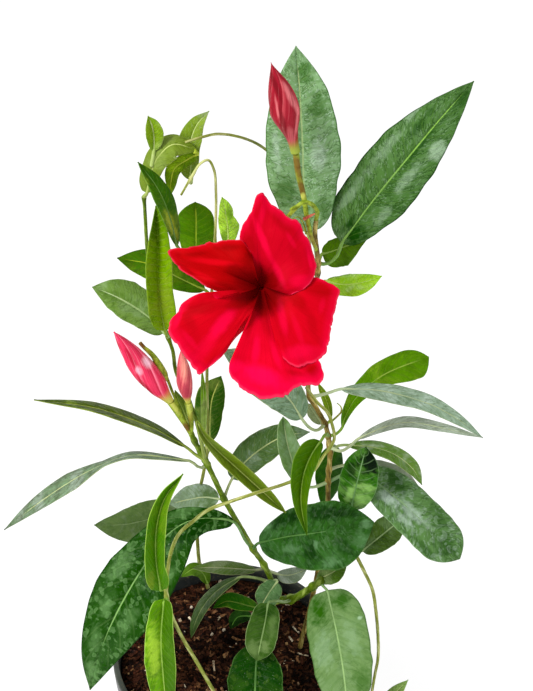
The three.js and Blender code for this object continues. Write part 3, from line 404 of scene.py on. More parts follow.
        sides=((0.3, 26, 5, 24, -5), (0.55, 24, 5, 23, -5), (0.8, 23, 5, 23, -5)),
        peak=0.55, base=2.2, tip=6, wave=0.6,
    ),
    LeafPlan(
        "leaf_right_edge", Tone.GREY, "leaf_right_edge",
        stalk=((329, 470, 5), (340, 466, 13)),
        rib=((356, 464, 18), (380, 467, 20), (400, 474, 21), (420, 488, 20)),
        sides=((0.5, 7, 6, 7, -4),),
        peak=0.5, base=2, tip=2, wave=0.3,
    ),
    LeafPlan(
        "leaf_right_lower", Tone.GREY, "leaf_right_lower",
        stalk=((350, 541, -4), (356, 549, 1)),
        rib=((362, 551, 6), (377, 539, 13), (392, 527, 19), (408, 515, 25)),
        sides=((0.5, 15, 2, 15, -2),),
        peak=0.5, base=2.2, tip=2.2, wave=0.5,
    ),
    LeafPlan(
        "leaf_wide_centre", Tone.DEEP, "leaf_wide_centre",
        stalk=((253, 549, 4), (256, 545, -1)),
        rib=((259, 543, -5), (285, 537, -12), (315, 533, -17), (345, 528, -19), (374, 522, -19)),
        sides=((0.05, 20, 3, 28, -3), (0.3, 28, 3, 33, -3), (0.6, 31, 3, 40, -3), (0.8, 30, 3, 38, -3),
            (0.95, 26, 3, 34, -3)),
        peak=0.5, base=2.4, tip=3.6, wave=0.6,
    ),
    LeafPlan(
        "leaf_front_right", Tone.MID, "leaf_front_right",
        stalk=((321, 583, -4), (324, 587, -7)),
        rib=((327, 590, -9), (333, 616, -17), (338, 640, -26), (344, 677, -39), (348, 722, -53)),
        sides=((0.2, 32, -3, 29, 2), (0.5, 31.5, -3, 29.5, 2)),
        peak=0.45, base=3, tip=3, wave=0.6,
    ),
    LeafPlan(
        "leaf_crinkled", Tone.GREY, "leaf_crinkled",
        stalk=((272, 583, 8), (276, 580, 2)),
        rib=((277, 582, -2), (269, 593, -7), (260, 608, -12)),
        sides=((0.5, 12, 2, 12, -2),),
        peak=0.5, base=2.4, tip=2.6, wave=1.2,
    ),
    LeafPlan(
        "leaf_spoon", Tone.MID, "leaf_spoon",
        stalk=((291, 600, 4), (284, 602, -6), (277, 601, -14)),
        rib=((268, 603, -19), (265, 622, -25), (261, 641, -31), (257, 661, -38)),
        sides=((0.3, 15, -2, 16, 2), (0.7, 15.5, -2, 17, 2)),
        peak=0.5, base=2.8, tip=3.4, wave=0.5,
    ),
    LeafPlan(
        "leaf_front_dark", Tone.DEEP, "leaf_front_dark",
        stalk=((271, 625, 7), (266, 628, -4), (261, 634, -16)),
        rib=((258, 645, -24), (256, 665, -33), (255, 690, -43), (254, 722, -53)),
        sides=((0.5, 28, -2, 28, -2),),
        peak=0.6, base=2.2, tip=2, wave=0.5,
    ),
    LeafPlan(
        "leaf_dusty_back", Tone.GREY, "leaf_dusty_back",
        stalk=((264, 565, 6), (262, 569, 11)),
        rib=((256, 570, 15), (232, 568, 25), (210, 567, 34), (192, 568, 40)),
        sides=((0.5, 7, -8, 7, 8),),
        peak=0.5, base=2, tip=1.9, wave=0.4,
    ),
    LeafPlan(
        "leaf_narrow_low", Tone.GREY, "leaf_narrow_low",
        stalk=((272, 583, 8), (256, 578, 5)),
        rib=((240, 577, 3), (223, 586, 2), (205, 603, 1), (195, 622, -2), (191, 638, -4)),
        sides=((0.5, 6, -7, 6, 7),),
        peak=0.45, base=1.8, tip=3, wave=0.5,
    ),
    LeafPlan(
        "leaf_centre_upright", Tone.DEEP, "leaf_centre_upright",
        stalk=((206, 456, 10), (210, 446, 14)),
        rib=((210, 441, 16), (210, 420, 17), (212, 399, 18), (221, 376, 18)),
        sides=((0.3, 14, 3, 12, -3), (0.7, 18, 3, 14, -3)),
        peak=0.5, base=2.2, tip=2.4, wave=0.4,
    ),
)

SPROUTS = (
    LeafPlan(
        "sprout_tip", Tone.BRIGHT, "stem_upper_left",
        stalk=((152, 166, -1),),
        rib=((154, 151, -1), (154, 138, -1), (152, 126, -2), (148, 116, -2)),
        sides=((0.5, 8, -2, 10, -2),),
        peak=0.5, base=2, tip=1.9, wave=0,
    ),
    LeafPlan(
        "sprout_cupped", Tone.BRIGHT, "stem_upper_left",
        stalk=((144, 197, 0),),
        rib=((147, 193, -1), (150, 176, -1), (158, 157, -2), (173, 144, -2), (198, 150, 0)),
        sides=((0.1, 11, 3, 9, -3), (0.35, 11, 3, 11, -3), (0.55, 12, 3, 15, -3), (0.8, 11, 3, 17, -3)),
        peak=0.5, base=3, tip=2.2, wave=0,
    ),
    LeafPlan(
        "sprout_fold", Tone.MID, "stem_upper_left",
        stalk=((194, 151, -1),),
        rib=((198, 154, 0), (187, 160, 0), (174, 170, 1), (170, 196, 1)),
        sides=((0.3, 7, 3, 8, -2), (0.6, 7, 3, 8, -2), (0.9, 9, 3, 8, -2)),
        peak=0.5, base=2.6, tip=1.9, wave=0,
    ),
    LeafPlan(
        "sprout_pale_strip", Tone.BRIGHT, "stem_upper_left",
        stalk=((202, 450, -3),),
        rib=((203, 442, -3), (204, 405, -1), (202, 370, 0)),
        sides=((0.5, 3, -1.5, 3, -1.5),),
        peak=0.5, base=2, tip=1.9, wave=0,
    ),
    LeafPlan(
        "sprout_grey", Tone.GREY, "stem_main",
        stalk=((325, 424, 0),),
        rib=((322, 424, 3), (315, 414, 6), (307, 403, 8)),
        sides=((0.5, 7, 1, 6, -1),),
        peak=0.5, base=2, tip=1.9, wave=0,
    ),
    LeafPlan(
        "sprout_bright_strip", Tone.BRIGHT, "stem_main",
        stalk=((325, 424, 0), (329, 422, 2)),
        rib=((331, 418, 4), (327, 402, 6), (318, 383, 7)),
        sides=((0.5, 4, -1.5, 4, -1.5),),
        peak=0.5, base=2, tip=1.9, wave=0,
    ),
    LeafPlan(
        "sprout_soil_back", Tone.BRIGHT, "stem_back",
        stalk=((200, 566, 50),),
        rib=((208, 584, 43), (202, 572, 44), (193, 569, 43), (181, 577, 39)),
        sides=((0.5, 7, -3, 7, 3),),
        peak=0.5, base=2, tip=1.9, wave=0,
    ),
    LeafPlan(
        "sprout_over_soil", Tone.MID, "stem_left",
        stalk=((273, 600, 8),),
        rib=((258, 608, 4), (242, 604, 2), (227, 601, 0), (213, 608, -3)),
        sides=((0.5, 7, -4, 9, 4),),
        peak=0.5, base=2, tip=1.9, wave=0,
    ),
    LeafPlan(
        "sprout_round", Tone.DEEP, "stem_left",
        stalk=((271, 625, 7), (262, 617, 5)),
        rib=((252, 616, 3), (238, 617, 0), (230, 629, -3)),
        sides=((0.5, 7, -1, 7, 1),),
        peak=0.5, base=2, tip=1.9, wave=0,
    ),
    LeafPlan(
        "sprout_bud_back", Tone.DEEP, "stem_left",
        stalk=((194, 441, -7), (193, 434, -3)),
        rib=((189, 427, 1), (184, 412, 2), (178, 400, 2), (175, 390, 2)),
        sides=((0.5, 6, 2, 7, -1),),
        peak=0.5, base=2, tip=1.9, wave=0,
    ),
    LeafPlan(
        "sprout_right_grey", Tone.GREY, "stem_left",
        stalk=((264, 565, 6), (270, 571, 11)),
        rib=((277, 574, 14), (289, 575, 19), (307, 569, 25)),
        sides=((0.45, 7, 5, 9, -5),),
        peak=0.5, base=2, tip=1.9, wave=0,
    ),
    LeafPlan(
        "sprout_curled", Tone.DEEP, "stem_low",
        stalk=((314, 587.5, -1.8), (316, 583, -1)),
        rib=((317, 580, -1), (331, 573, -3), (347, 563, -5)),
        sides=((0.45, 9, 2, 11, -3),),
        peak=0.5, base=2, tip=1.9, wave=0,
    ),
    LeafPlan(
        "sprout_end_right", Tone.MID, "stem_hanging",
        stalk=((366, 730, -18),),
        rib=((372, 722, -19), (385, 706, -22), (397, 691, -26), (408, 680, -28)),
        sides=((0.5, 8, 2, 8, -2),),
        peak=0.5, base=2, tip=1.9, wave=0,
    ),
    LeafPlan(
        "sprout_end_down", Tone.MID, "stem_hanging",
        stalk=((366, 730, -18),),
        rib=((365, 735, -19), (362, 750, -22), (360, 768, -25)),
        sides=((0.5, 9, 2, 9, -2),),
        peak=0.5, base=2, tip=1.9, wave=0,
    ),
)


def shade(red: int, green: int, blue: int) -> Paint:
    """Turns a display colour into the linear colour that a socket takes.

    Args:
        red: The red channel, 0 to 255.
        green: The green channel, 0 to 255.
        blue: The blue channel, 0 to 255.

    Returns:
        The linear colour with full alpha.
    """
    channels = [c / 255 for c in (red, green, blue)]
    lit = [c / 12.92 if c <= 0.04045 else ((c + 0.055) / 1.055) ** 2.4 for c in channels]
    return (lit[0], lit[1], lit[2], 1.0)


def blend(first: float, second: float, share: float) -> float:
    """Returns the value at a share of the way from the first to the second."""
    return first + (second - first) * share


def ease(low: float, high: float, value: float) -> float:
    """Returns a smooth step from 0 at low to 1 at high."""
    share = min(max((value - low) / (high - low), 0.0), 1.0)
    return share * share * (3 - 2 * share)


@dataclass(frozen=True)
class FrontView:
    """The view that looks down on the plant, on which every plan is plotted."""

    tilt: float = math.radians(35)
    distance: float = 560.0
    step: float = 0.5
    target: Vector = field(default_factory=lambda: Vector((24.3, 0.0, 343.9)))
    centre: tuple[float, float] = (266.5, 345.5)

    @cached_property
    def forward(self) -> Vector:
        """The direction that the view looks in."""
        return Vector((0.0, math.cos(self.tilt), -math.sin(self.tilt)))

    @cached_property
    def upward(self) -> Vector:
        """The direction that is up in the view."""
        return Vector((0.0, math.sin(self.tilt), math.cos(self.tilt)))

    @cached_property
    def eye(self) -> Vector:
        """The point that the view looks from."""
        return self.target - self.forward * self.distance

    def in_view(self, across: float, down: float, depth: float) -> Vector:
        """Finds the point of a sight line at a depth behind the target.

        Args:
            across: Steps to the right.
            down: Steps downwards.
            depth: Millimetres behind the plane through the target.

        Returns:
            The point in millimetres.
        """
        reach = self.distance + depth
        scale = self.step * reach / self.distance
        point = self.eye + self.forward * reach + self.upward * ((self.centre[1] - down) * scale)
        point.x += (across - self.centre[0]) * scale
        return point

    def depth_of(self, down: float, y: float) -> float:
        """Finds the depth at which a sight line meets the upright plane at y.

        Args:
            down: Steps downwards.
            y: The plane's place in millimetres.

        Returns:
            The depth in millimetres.
        """
        rise = (self.centre[1] - down) * self.step / self.distance
        return (y - self.eye.y) / (self.forward.y + rise * self.upward.y) - self.distance

    def at(self, place: Sequence[float]) -> Vector:
        """Returns a plotted place as a point in space."""
        return self.in_view(place[0], place[1], self.depth_of(place[1], place[2]))


VIEW = FrontView()


class SmoothPath:
    """A centripetal Catmull-Rom curve through points, measured along its length."""

    def __init__(self, points: Iterable[Vector], grain: int = 24) -> None:
        """Samples the curve.

        Args:
            points: The points that it runs through.
            grain: Samples between two points.
        """
        self.knots = [Vector(point) for point in points]
        self.grain = grain
        self.samples = [self._raw(k / grain) for k in range((len(self.knots) - 1) * grain + 1)]
        self.lengths = [0.0]
        for before, after in zip(self.samples, self.samples[1:]):
            self.lengths.append(self.lengths[-1] + (after - before).length)
        self.length = self.lengths[-1]

    def _raw(self, turn: float) -> Vector:
        """Returns the curve's point at a count of knots from its start."""
        last = len(self.knots) - 2
        k = min(int(turn), last)
        near = turn - k
        p1, p2 = self.knots[k], self.knots[k + 1]
        p0 = self.knots[k - 1] if k > 0 else p1 * 2 - p2
        p3 = self.knots[k + 2] if k < last else p2 * 2 - p1
        d1 = max((p2 - p1).length ** 0.5, 1e-4)
        d0 = max((p1 - p0).length ** 0.5, 1e-4)
        d2 = max((p3 - p2).length ** 0.5, 1e-4)
        m1 = ((p1 - p0) / d0 - (p2 - p0) / (d0 + d1) + (p2 - p1) / d1) * d1
        m2 = ((p2 - p1) / d1 - (p3 - p1) / (d1 + d2) + (p3 - p2) / d2) * d1
        bend = p1 * -3 + p2 * 3 - m1 * 2 - m2
        close = p1 * 2 - p2 * 2 + m1 + m2
        return p1 + m1 * near + bend * near**2 + close * near**3

    def _spot(self, share: float) -> tuple[int, float]:
        """Returns the sample before a share of the length, and the way on to the next."""
        goal = min(max(share, 0.0), 1.0) * self.length
        low, high = 0, len(self.lengths) - 1
        while high - low > 1:
            middle = (low + high) // 2
            low, high = (middle, high) if self.lengths[middle] <= goal else (low, middle)
        span = max(self.lengths[high] - self.lengths[low], 1e-9)
        return low, (goal - self.lengths[low]) / span

    def point(self, share: float) -> Vector:
        """Returns the point at a share of the length."""
        k, near = self._spot(share)
        return self.samples[k].lerp(self.samples[k + 1], near)

    def tangent(self, share: float) -> Vector:
        """Returns the direction at a share of the length."""
        return (self.point(share + 0.004) - self.point(share - 0.004)).normalized()

    def knot_share(self, knot: int) -> float:
        """Returns the share of the length at which a knot lies."""
        return self.lengths[knot * self.grain] / self.length

    def nearest(self, place: Vector) -> tuple[float, float]:
        """Finds where the curve passes closest to a place.

        Args:
            place: The place in space.

        Returns:
            The share of the length, and the distance there.
        """
        gaps = [(sample - place).length for sample in self.samples]
        best = min(range(len(gaps)), key=gaps.__getitem__)
        return self.lengths[best] / self.length, gaps[best]

    def frames(self, shares: Sequence[float]) -> list[tuple[Vector, Vector, Vector]]:
        """Carries a pair of cross directions along the curve without twist.

        Args:
            shares: Shares of the length, in order.

        Returns:
            The centre and the two cross directions at each share.
        """
        along = self.tangent(shares[0])
        side = along.orthogonal().normalized()
        carried = []
        for share in shares:
            along = self.tangent(share)
            side = (side - along * side.dot(along)).normalized()
            carried.append((self.point(share), side, along.cross(side)))
        return carried


def sheet(
    bm: bmesh.types.BMesh,
    columns: int,
    rows: int,
    place: Callable[[float, float], Vector],
    material: int = 0,
    closed: bool = False,
) -> list[bmesh.types.BMFace]:
    """Adds a grid whose points are moved to their places, with its grid as its UV map.

    Args:
        bm: The mesh that takes it.
        columns: Faces across.
        rows: Faces along.
        place: Gives the point for a share across and a share along.
        material: The material index of its faces.
        closed: Joins its first and last column and closes its ends, where points coincide.

    Returns:
        The faces of the sheet.
    """
    cover = bm.loops.layers.uv.get("UVMap") or bm.loops.layers.uv.new("UVMap")
    made = bmesh.ops.create_grid(bm, x_segments=columns, y_segments=rows, size=0.5)["verts"]
    faces = list({face for vert in made for face in vert.link_faces})
    for face in faces:
        face.material_index = material
        face.smooth = True
        for loop in face.loops:
            loop[cover].uv = (loop.vert.co.x + 0.5, loop.vert.co.y + 0.5)
    for vert in made:
        across = round((vert.co.x + 0.5) * columns) / columns
        along = round((vert.co.y + 0.5) * rows) / rows
        vert.co = place(across, along)
    if closed:
        bmesh.ops.remove_doubles(bm, verts=made, dist=1e-4)
        faces = [face for face in faces if face.is_valid]
        bmesh.ops.recalc_face_normals(bm, faces=faces)
    return faces


def tube(
    bm: bmesh.types.BMesh,
    path: SmoothPath,
    radius: Callable[[float, float], float],
    sides: int,
    steps: int,
    material: int = 0,
) -> list[bmesh.types.BMFace]:
    """Adds a closed round bar along a path.

    Args:
        bm: The mesh that takes it.
        path: The line of its centre.
        radius: Gives the radius for a share of the length and an angle.
        sides: Faces round it.
        steps: Faces along it.
        material: The material index of its faces.

    Returns:
        The faces of the bar.
    """
    frames = path.frames([min(max((k - 1) / steps, 0.0), 1.0) for k in range(steps + 3)])
    rows = steps + 2

    def place(across: float, along: float) -> Vector:
        """Returns the point of the bar's skin."""
        row = round(along * rows)
        centre, side, other = frames[row]
        if row in (0, rows):
            return centre
        angle = math.tau * (across % 1.0)
        reach = radius((row - 1) / steps, angle)
        return centre + (side * math.cos(angle) + other * math.sin(angle)) * reach

    return sheet(bm, sides, rows, place, material, closed=True)


def finish_piece(
    name: str,
    bm: bmesh.types.BMesh,
    materials: Sequence[bpy.types.Material],
    node: str | None,
) -> bpy.types.Object:
    """Turns a mesh in millimetres into a dressed piece of the object.

    Args:
        name: The name of the piece.
        bm: Its mesh, which is freed.
        materials: Its materials, by material index.
        node: The solid that it stands for, or None where it is an addition.

    Returns:
        The finished piece.
    """
    bmesh.ops.scale(bm, vec=(0.001, 0.001, 0.001), verts=bm.verts[:])
    mesh = bpy.data.meshes.new(name)
    bm.to_mesh(mesh)
    bm.free()
    for material in materials:
        mesh.materials.append(material)
    piece = bpy.data.objects.new(name, mesh)
    bpy.context.scene.collection.objects.link(piece)
    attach(piece, "root")
    if node:
        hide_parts(node)
    LOG.info("%s: %d faces for %s", name, len(mesh.polygons), node or "the plant")
    return piece


class Wiring:
    """Short calls that add nodes to a node tree."""

    def __init__(self, tree: bpy.types.NodeTree) -> None:
        """Takes the tree that the calls add to."""
        self.tree = tree

    def node(self, kind: str, inputs: dict | None = None, **settings: object) -> bpy.types.Node:
        """Adds a node.

        Args:
            kind: The node's type name.
            inputs: Values or sockets for its inputs, by name or index.
            **settings: Values for its properties.

        Returns:
            The node.
        """
        made = self.tree.nodes.new(kind)
        for name, value in settings.items():
            setattr(made, name, value)
        for key, value in (inputs or {}).items():
            if isinstance(value, bpy.types.NodeSocket):
                self.tree.links.new(value, made.inputs[key])
            else:
                made.inputs[key].default_value = value
        return made

    def sum(self, operation: str, *values: object) -> bpy.types.NodeSocket:
        """Adds a math node and returns its value."""
        inputs = dict(enumerate(values))
        return self.node("ShaderNodeMath", inputs, operation=operation).outputs[0]

    def step(
        self, value: object, low: float, high: float, start: float = 0.0, end: float = 1.0
    ) -> bpy.types.NodeSocket:
        """Adds a smooth step.

        Args:
            value: The socket that is mapped.
            low: Where the step starts.
            high: Where the step ends.
            start: The result at and before low.
            end: The result at and after high.

        Returns:
            The mapped value.
        """
        inputs = {"Value": value, "From Min": low, "From Max": high, "To Min": start, "To Max": end}
        made = self.node("ShaderNodeMapRange", inputs, interpolation_type="SMOOTHSTEP")
        return made.outputs[0]

    def mix(self, share: object, first: object, second: object) -> bpy.types.NodeSocket:
        """Adds a colour mix and returns its colour."""
        made = self.node("ShaderNodeMix", data_type="RGBA")
        for index, value in ((0, share), (6, first), (7, second)):
            if isinstance(value, bpy.types.NodeSocket):
                self.tree.links.new(value, made.inputs[index])
            else:
                made.inputs[index].default_value = value
        return made.outputs[2]

    def noise(
        self, place: object, scale: float, detail: float = 2.0, warp: float = 0.0
    ) -> bpy.types.NodeSocket:
        """Adds a noise texture.

        Args:
            place: The coordinates.
            scale: Its scale.
            detail: Its octaves.
            warp: Its distortion.

        Returns:
            The noise value.
        """
        inputs = {"Vector": place, "Scale": scale, "Detail": detail, "Distortion": warp}
        return self.node("ShaderNodeTexNoise", inputs).outputs[0]

    def group(self, tree: bpy.types.NodeTree, **inputs: object) -> bpy.types.Node:
        """Places a node group with its own values."""
        made = self.tree.nodes.new("ShaderNodeGroup")
        made.node_tree = tree
        for name, value in inputs.items():
            if isinstance(value, bpy.types.NodeSocket):
                self.tree.links.new(value, made.inputs[name])
            else:
                made.inputs[name].default_value = value
        return made


def new_group(
    name: str, inputs: dict[str, tuple[str, float | None]], outputs: Sequence[str]
) -> tuple[Wiring, bpy.types.Node, bpy.types.Node]:
    """Starts a shader node group.

    Args:
        name: The group's name.
        inputs: The socket type and the default value of each input.
        outputs: The names of its float outputs.

    Returns:
        The wiring of the group, its input node and its output node.
    """
    tree = bpy.data.node_groups.new(name, "ShaderNodeTree")
    for label, (kind, value) in inputs.items():
        socket = tree.interface.new_socket(label, in_out="INPUT", socket_type=kind)
        if value is not None:
            socket.default_value = value
    for label in outputs:
        tree.interface.new_socket(label, in_out="OUTPUT", socket_type="NodeSocketFloat")
    wiring = Wiring(tree)
    return wiring, wiring.node("NodeGroupInput"), wiring.node("NodeGroupOutput")


class Effects:
    """The effects that more than one finish uses, each built once as a node group."""

    def __init__(self) -> None:
        """Builds the groups."""
        self.veins = self._veins()
        self.patches = self._patches()
        self.grain = self._grain()
        self.streaks = self._streaks()
        self.creases = self._creases()
        self.spot = self._spot()
        self.pebbles = self._pebbles()

    def _veins(self) -> bpy.types.NodeTree:
        """Builds the network of a leaf on its UV map: rib, side veins, margin and the swells between."""
        wiring, inlet, outlet = new_group(
            "leaf_veins",
            {
                "Place": ("NodeSocketVector", None),
                "Count": ("NodeSocketFloat", 12.0),
                "Slant": ("NodeSocketFloat", 0.14),
                "Rib": ("NodeSocketFloat", 0.05),
                "Edge": ("NodeSocketFloat", 0.03),
            },
            ("Midrib", "Lateral", "Margin", "Swell", "Ray"),
        )
        split = wiring.node("ShaderNodeSeparateXYZ", {0: inlet.outputs["Place"]})
        across = wiring.sum("ABSOLUTE", wiring.sum("SUBTRACT", split.outputs[0], 0.5))
        out = wiring.sum("MULTIPLY", across, 2.0)
        near_rib = wiring.sum("DIVIDE", out, inlet.outputs["Rib"])
        near_edge = wiring.sum("DIVIDE", wiring.sum("SUBTRACT", 1.0, out), inlet.outputs["Edge"])
        curve = wiring.sum("MULTIPLY", wiring.sum("POWER", out, 1.2), inlet.outputs["Slant"])
        shift = wiring.sum("SUBTRACT", split.outputs[1], curve)
        sway = wiring.noise(inlet.outputs["Place"], 3.0)
        shift = wiring.sum("ADD", shift, wiring.sum("MULTIPLY", sway, 0.06))
        phase = wiring.sum("FRACT", wiring.sum("MULTIPLY", shift, inlet.outputs["Count"]))
        tri = wiring.sum("MULTIPLY", wiring.sum("ABSOLUTE", wiring.sum("SUBTRACT", phase, 0.5)), 2.0)
        fade = wiring.step(out, 0.55, 1.0, 1.0, 0.25)
        values = {
            "Midrib": wiring.step(near_rib, 0.3, 1.0, 1.0, 0.0),
            "Lateral": wiring.sum("MULTIPLY", wiring.step(tri, 0.78, 0.98), fade),
            "Margin": wiring.step(near_edge, 0.35, 1.0, 1.0, 0.0),
            "Swell": wiring.sum("SUBTRACT", 1.0, wiring.sum("POWER", tri, 2.0)),
            "Ray": shift,
        }
        for label, value in values.items():
            wiring.tree.links.new(value, outlet.inputs[label])
        return wiring.tree

    def _patches(self) -> bpy.types.NodeTree:
        """Builds soft patches: the mask of a noise between two thresholds."""
        wiring, inlet, outlet = new_group(
            "patches",
            {
                "Place": ("NodeSocketVector", None),
                "Scale": ("NodeSocketFloat", 60.0),
                "Low": ("NodeSocketFloat", 0.45),
                "High": ("NodeSocketFloat", 0.65),
            },
            ("Mask",),
        )
        cloud = wiring.noise(inlet.outputs["Place"], 1.0, 3.0, 0.4)
        wiring.tree.links.new(inlet.outputs["Scale"], cloud.node.inputs["Scale"])
        inputs = {
            "Value": cloud,
            "From Min": inlet.outputs["Low"],
            "From Max": inlet.outputs["High"],
        }
        mask = wiring.node("ShaderNodeMapRange", inputs, interpolation_type="SMOOTHSTEP")
        wiring.tree.links.new(mask.outputs[0], outlet.inputs["Mask"])
        return wiring.tree

    def _grain(self) -> bpy.types.NodeTree:
        """Builds a fine grain: small pits over a finer noise, as a height."""
        wiring, inlet, outlet = new_group(
            "grain",
            {"Place": ("NodeSocketVector", None), "Scale": ("NodeSocketFloat", 900.0)},
            ("Height",),
        )
        fine = wiring.noise(inlet.outputs["Place"], 1.0, 3.0)
        wiring.tree.links.new(inlet.outputs["Scale"], fine.node.inputs["Scale"])
        cells = wiring.node("ShaderNodeTexVoronoi", {"Vector": inlet.outputs["Place"]})
        wiring.tree.links.new(inlet.outputs["Scale"], cells.inputs["Scale"])
        pits = wiring.sum("MULTIPLY", cells.outputs[0], 0.4)
        wiring.tree.links.new(wiring.sum("ADD", fine, pits), outlet.inputs["Height"])
        return wiring.tree

    def _streaks(self) -> bpy.types.NodeTree:
        """Builds streaks that run along a piece's UV map."""
        wiring, inlet, outlet = new_group(
            "streaks",
            {
                "Place": ("NodeSocketVector", None),
                "Count": ("NodeSocketFloat", 30.0),
                "Stretch": ("NodeSocketFloat", 2.0),
            },
            ("Value",),
        )
        split = wiring.node("ShaderNodeSeparateXYZ", {0: inlet.outputs["Place"]})
        joined = wiring.node(
            "ShaderNodeCombineXYZ",
            {
                0: wiring.sum("MULTIPLY", split.outputs[0], inlet.outputs["Count"]),
                1: wiring.sum("MULTIPLY", split.outputs[1], inlet.outputs["Stretch"]),
            },
        )
        value = wiring.noise(joined.outputs[0], 1.0, 3.0, 0.2)
        wiring.tree.links.new(value, outlet.inputs["Value"])
        return wiring.tree

    def _creases(self) -> bpy.types.NodeTree:
        """Builds the masks of the fine creases of a leathery blade, where shade is painted, and of the
        painted sheen on the skin between them.
        """
        wiring, inlet, outlet = new_group(
            "creases",
            {
                "Place": ("NodeSocketVector", None),
                "Across": ("NodeSocketFloat", 8.0),
                "Along": ("NodeSocketFloat", 30.0),
            },
            ("Value", "Sheen"),
        )
        split = wiring.node("ShaderNodeSeparateXYZ", {0: inlet.outputs["Place"]})
        scales = [inlet.outputs["Across"], inlet.outputs["Along"]]
        scaled = [wiring.sum("MULTIPLY", split.outputs[k], scales[k]) for k in (0, 1)]
        joined = wiring.node("ShaderNodeCombineXYZ", dict(enumerate(scaled))).outputs[0]
        crossing = wiring.sum("SUBTRACT", wiring.noise(joined, 1.0, 3.0, 0.8), 0.5)
        value = wiring.step(wiring.sum("ABSOLUTE", crossing), 0.0, 0.055, 1.0, 0.0)
        value = wiring.sum("MULTIPLY", value, wiring.step(wiring.noise(joined, 0.4), 0.36, 0.56))
        wiring.tree.links.new(value, outlet.inputs["Value"])
        sheen = wiring.step(wiring.noise(joined, 1.6, 3.0, 0.6), 0.54, 0.64)
        sheen = wiring.sum("MULTIPLY", sheen, wiring.sum("SUBTRACT", 1.0, value))
        wiring.tree.links.new(sheen, outlet.inputs["Sheen"])
        return wiring.tree

    def _spot(self) -> bpy.types.NodeTree:
        """Builds one soft spot round a place of the front view, fixed on the object."""
        wiring, inlet, outlet = new_group(
            "spot",
            {
                "Place": ("NodeSocketVector", None),
                "Across": ("NodeSocketFloat", 266.5),
                "Down": ("NodeSocketFloat", 345.5),
                "Length": ("NodeSocketFloat", 10.0),
                "Width": ("NodeSocketFloat", 5.0),
                "Turn": ("NodeSocketFloat", 0.0),
                "Ragged": ("NodeSocketFloat", 1.0),
            },
            ("Mask",),
        )

        def vector(operation: str, first: object, second: object) -> bpy.types.Node:
            """Adds a vector node."""
            return wiring.node("ShaderNodeVectorMath", {0: first, 1: second}, operation=operation)

        eye = vector("SUBTRACT", inlet.outputs["Place"], tuple(VIEW.eye * 0.001)).outputs[0]
        reach = vector("DOT_PRODUCT", eye, tuple(VIEW.forward)).outputs["Value"]
        away = []
        for axis, turn, middle, goal in (
            ((1.0, 0.0, 0.0), 1.0, VIEW.centre[0], "Across"),
            (tuple(VIEW.upward), -1.0, VIEW.centre[1], "Down"),
        ):
            rise = wiring.sum("DIVIDE", vector("DOT_PRODUCT", eye, axis).outputs["Value"], reach)
            seen = wiring.sum("MULTIPLY_ADD", rise, turn * VIEW.distance / VIEW.step, middle)
            away.append(wiring.sum("SUBTRACT", seen, inlet.outputs[goal]))
        cosine = wiring.sum("COSINE", inlet.outputs["Turn"])
        sine = wiring.sum("SINE", inlet.outputs["Turn"])
        along = wiring.sum("ADD", wiring.sum("MULTIPLY", away[0], cosine),
                           wiring.sum("MULTIPLY", away[1], sine))
        across = wiring.sum("SUBTRACT", wiring.sum("MULTIPLY", away[1], cosine),
                            wiring.sum("MULTIPLY", away[0], sine))
        along = wiring.sum("DIVIDE", along, inlet.outputs["Length"])
        across = wiring.sum("DIVIDE", across, inlet.outputs["Width"])
        squares = [wiring.sum("MULTIPLY", part, part) for part in (along, across)]
        rough = wiring.sum("SUBTRACT", wiring.noise(inlet.outputs["Place"], 300.0, 4.0), 0.5)
        rough = wiring.sum("MULTIPLY", rough, wiring.sum("MULTIPLY", inlet.outputs["Ragged"], 1.8))
        gap = wiring.sum("ADD", wiring.sum("SQRT", wiring.sum("ADD", *squares)), rough)
        wiring.tree.links.new(wiring.step(gap, 0.3, 1.15, 1.0, 0.0), outlet.inputs["Mask"])
        return wiring.tree

    def _pebbles(self) -> bpy.types.NodeTree:
        """Builds raised blisters of uneven size, and a mask of a painted glint on some of them."""
        wiring, inlet, outlet = new_group(
            "pebbles",
            {"Place": ("NodeSocketVector", None), "Scale": ("NodeSocketFloat", 260.0)},
            ("Mask", "Height"),
        )
        bend = wiring.node(
            "ShaderNodeTexNoise", {"Vector": inlet.outputs["Place"], "Scale": 160.0}
        ).outputs["Color"]
        bent = wiring.node(
            "ShaderNodeVectorMath", {0: bend, "Scale": 0.006}, operation="SCALE"
        ).outputs[0]
        place = wiring.node(
            "ShaderNodeVectorMath", {0: inlet.outputs["Place"], 1: bent}, operation="ADD"
        ).outputs[0]
        cells = wiring.node(
            "ShaderNodeTexVoronoi",
            {"Vector": place, "Scale": inlet.outputs["Scale"], "Smoothness": 0.5},
            feature="SMOOTH_F1",
        )
        height = wiring.step(cells.outputs["Distance"], 0.05, 0.62, 1.0, 0.0)
        choice = wiring.node("ShaderNodeSeparateXYZ", {0: cells.outputs["Color"]}).outputs[0]
        chosen = wiring.step(choice, 0.3, 0.5)
        rim = wiring.step(cells.outputs["Distance"], 0.36, 0.48, 1.0, 0.0)
        mask = wiring.sum("MULTIPLY", rim, wiring.step(cells.outputs["Distance"], 0.0, 0.4, 0.45, 1.0))
        wiring.tree.links.new(wiring.sum("MULTIPLY", mask, chosen), outlet.inputs["Mask"])
        wiring.tree.links.new(height, outlet.inputs["Height"])
        return wiring.tree


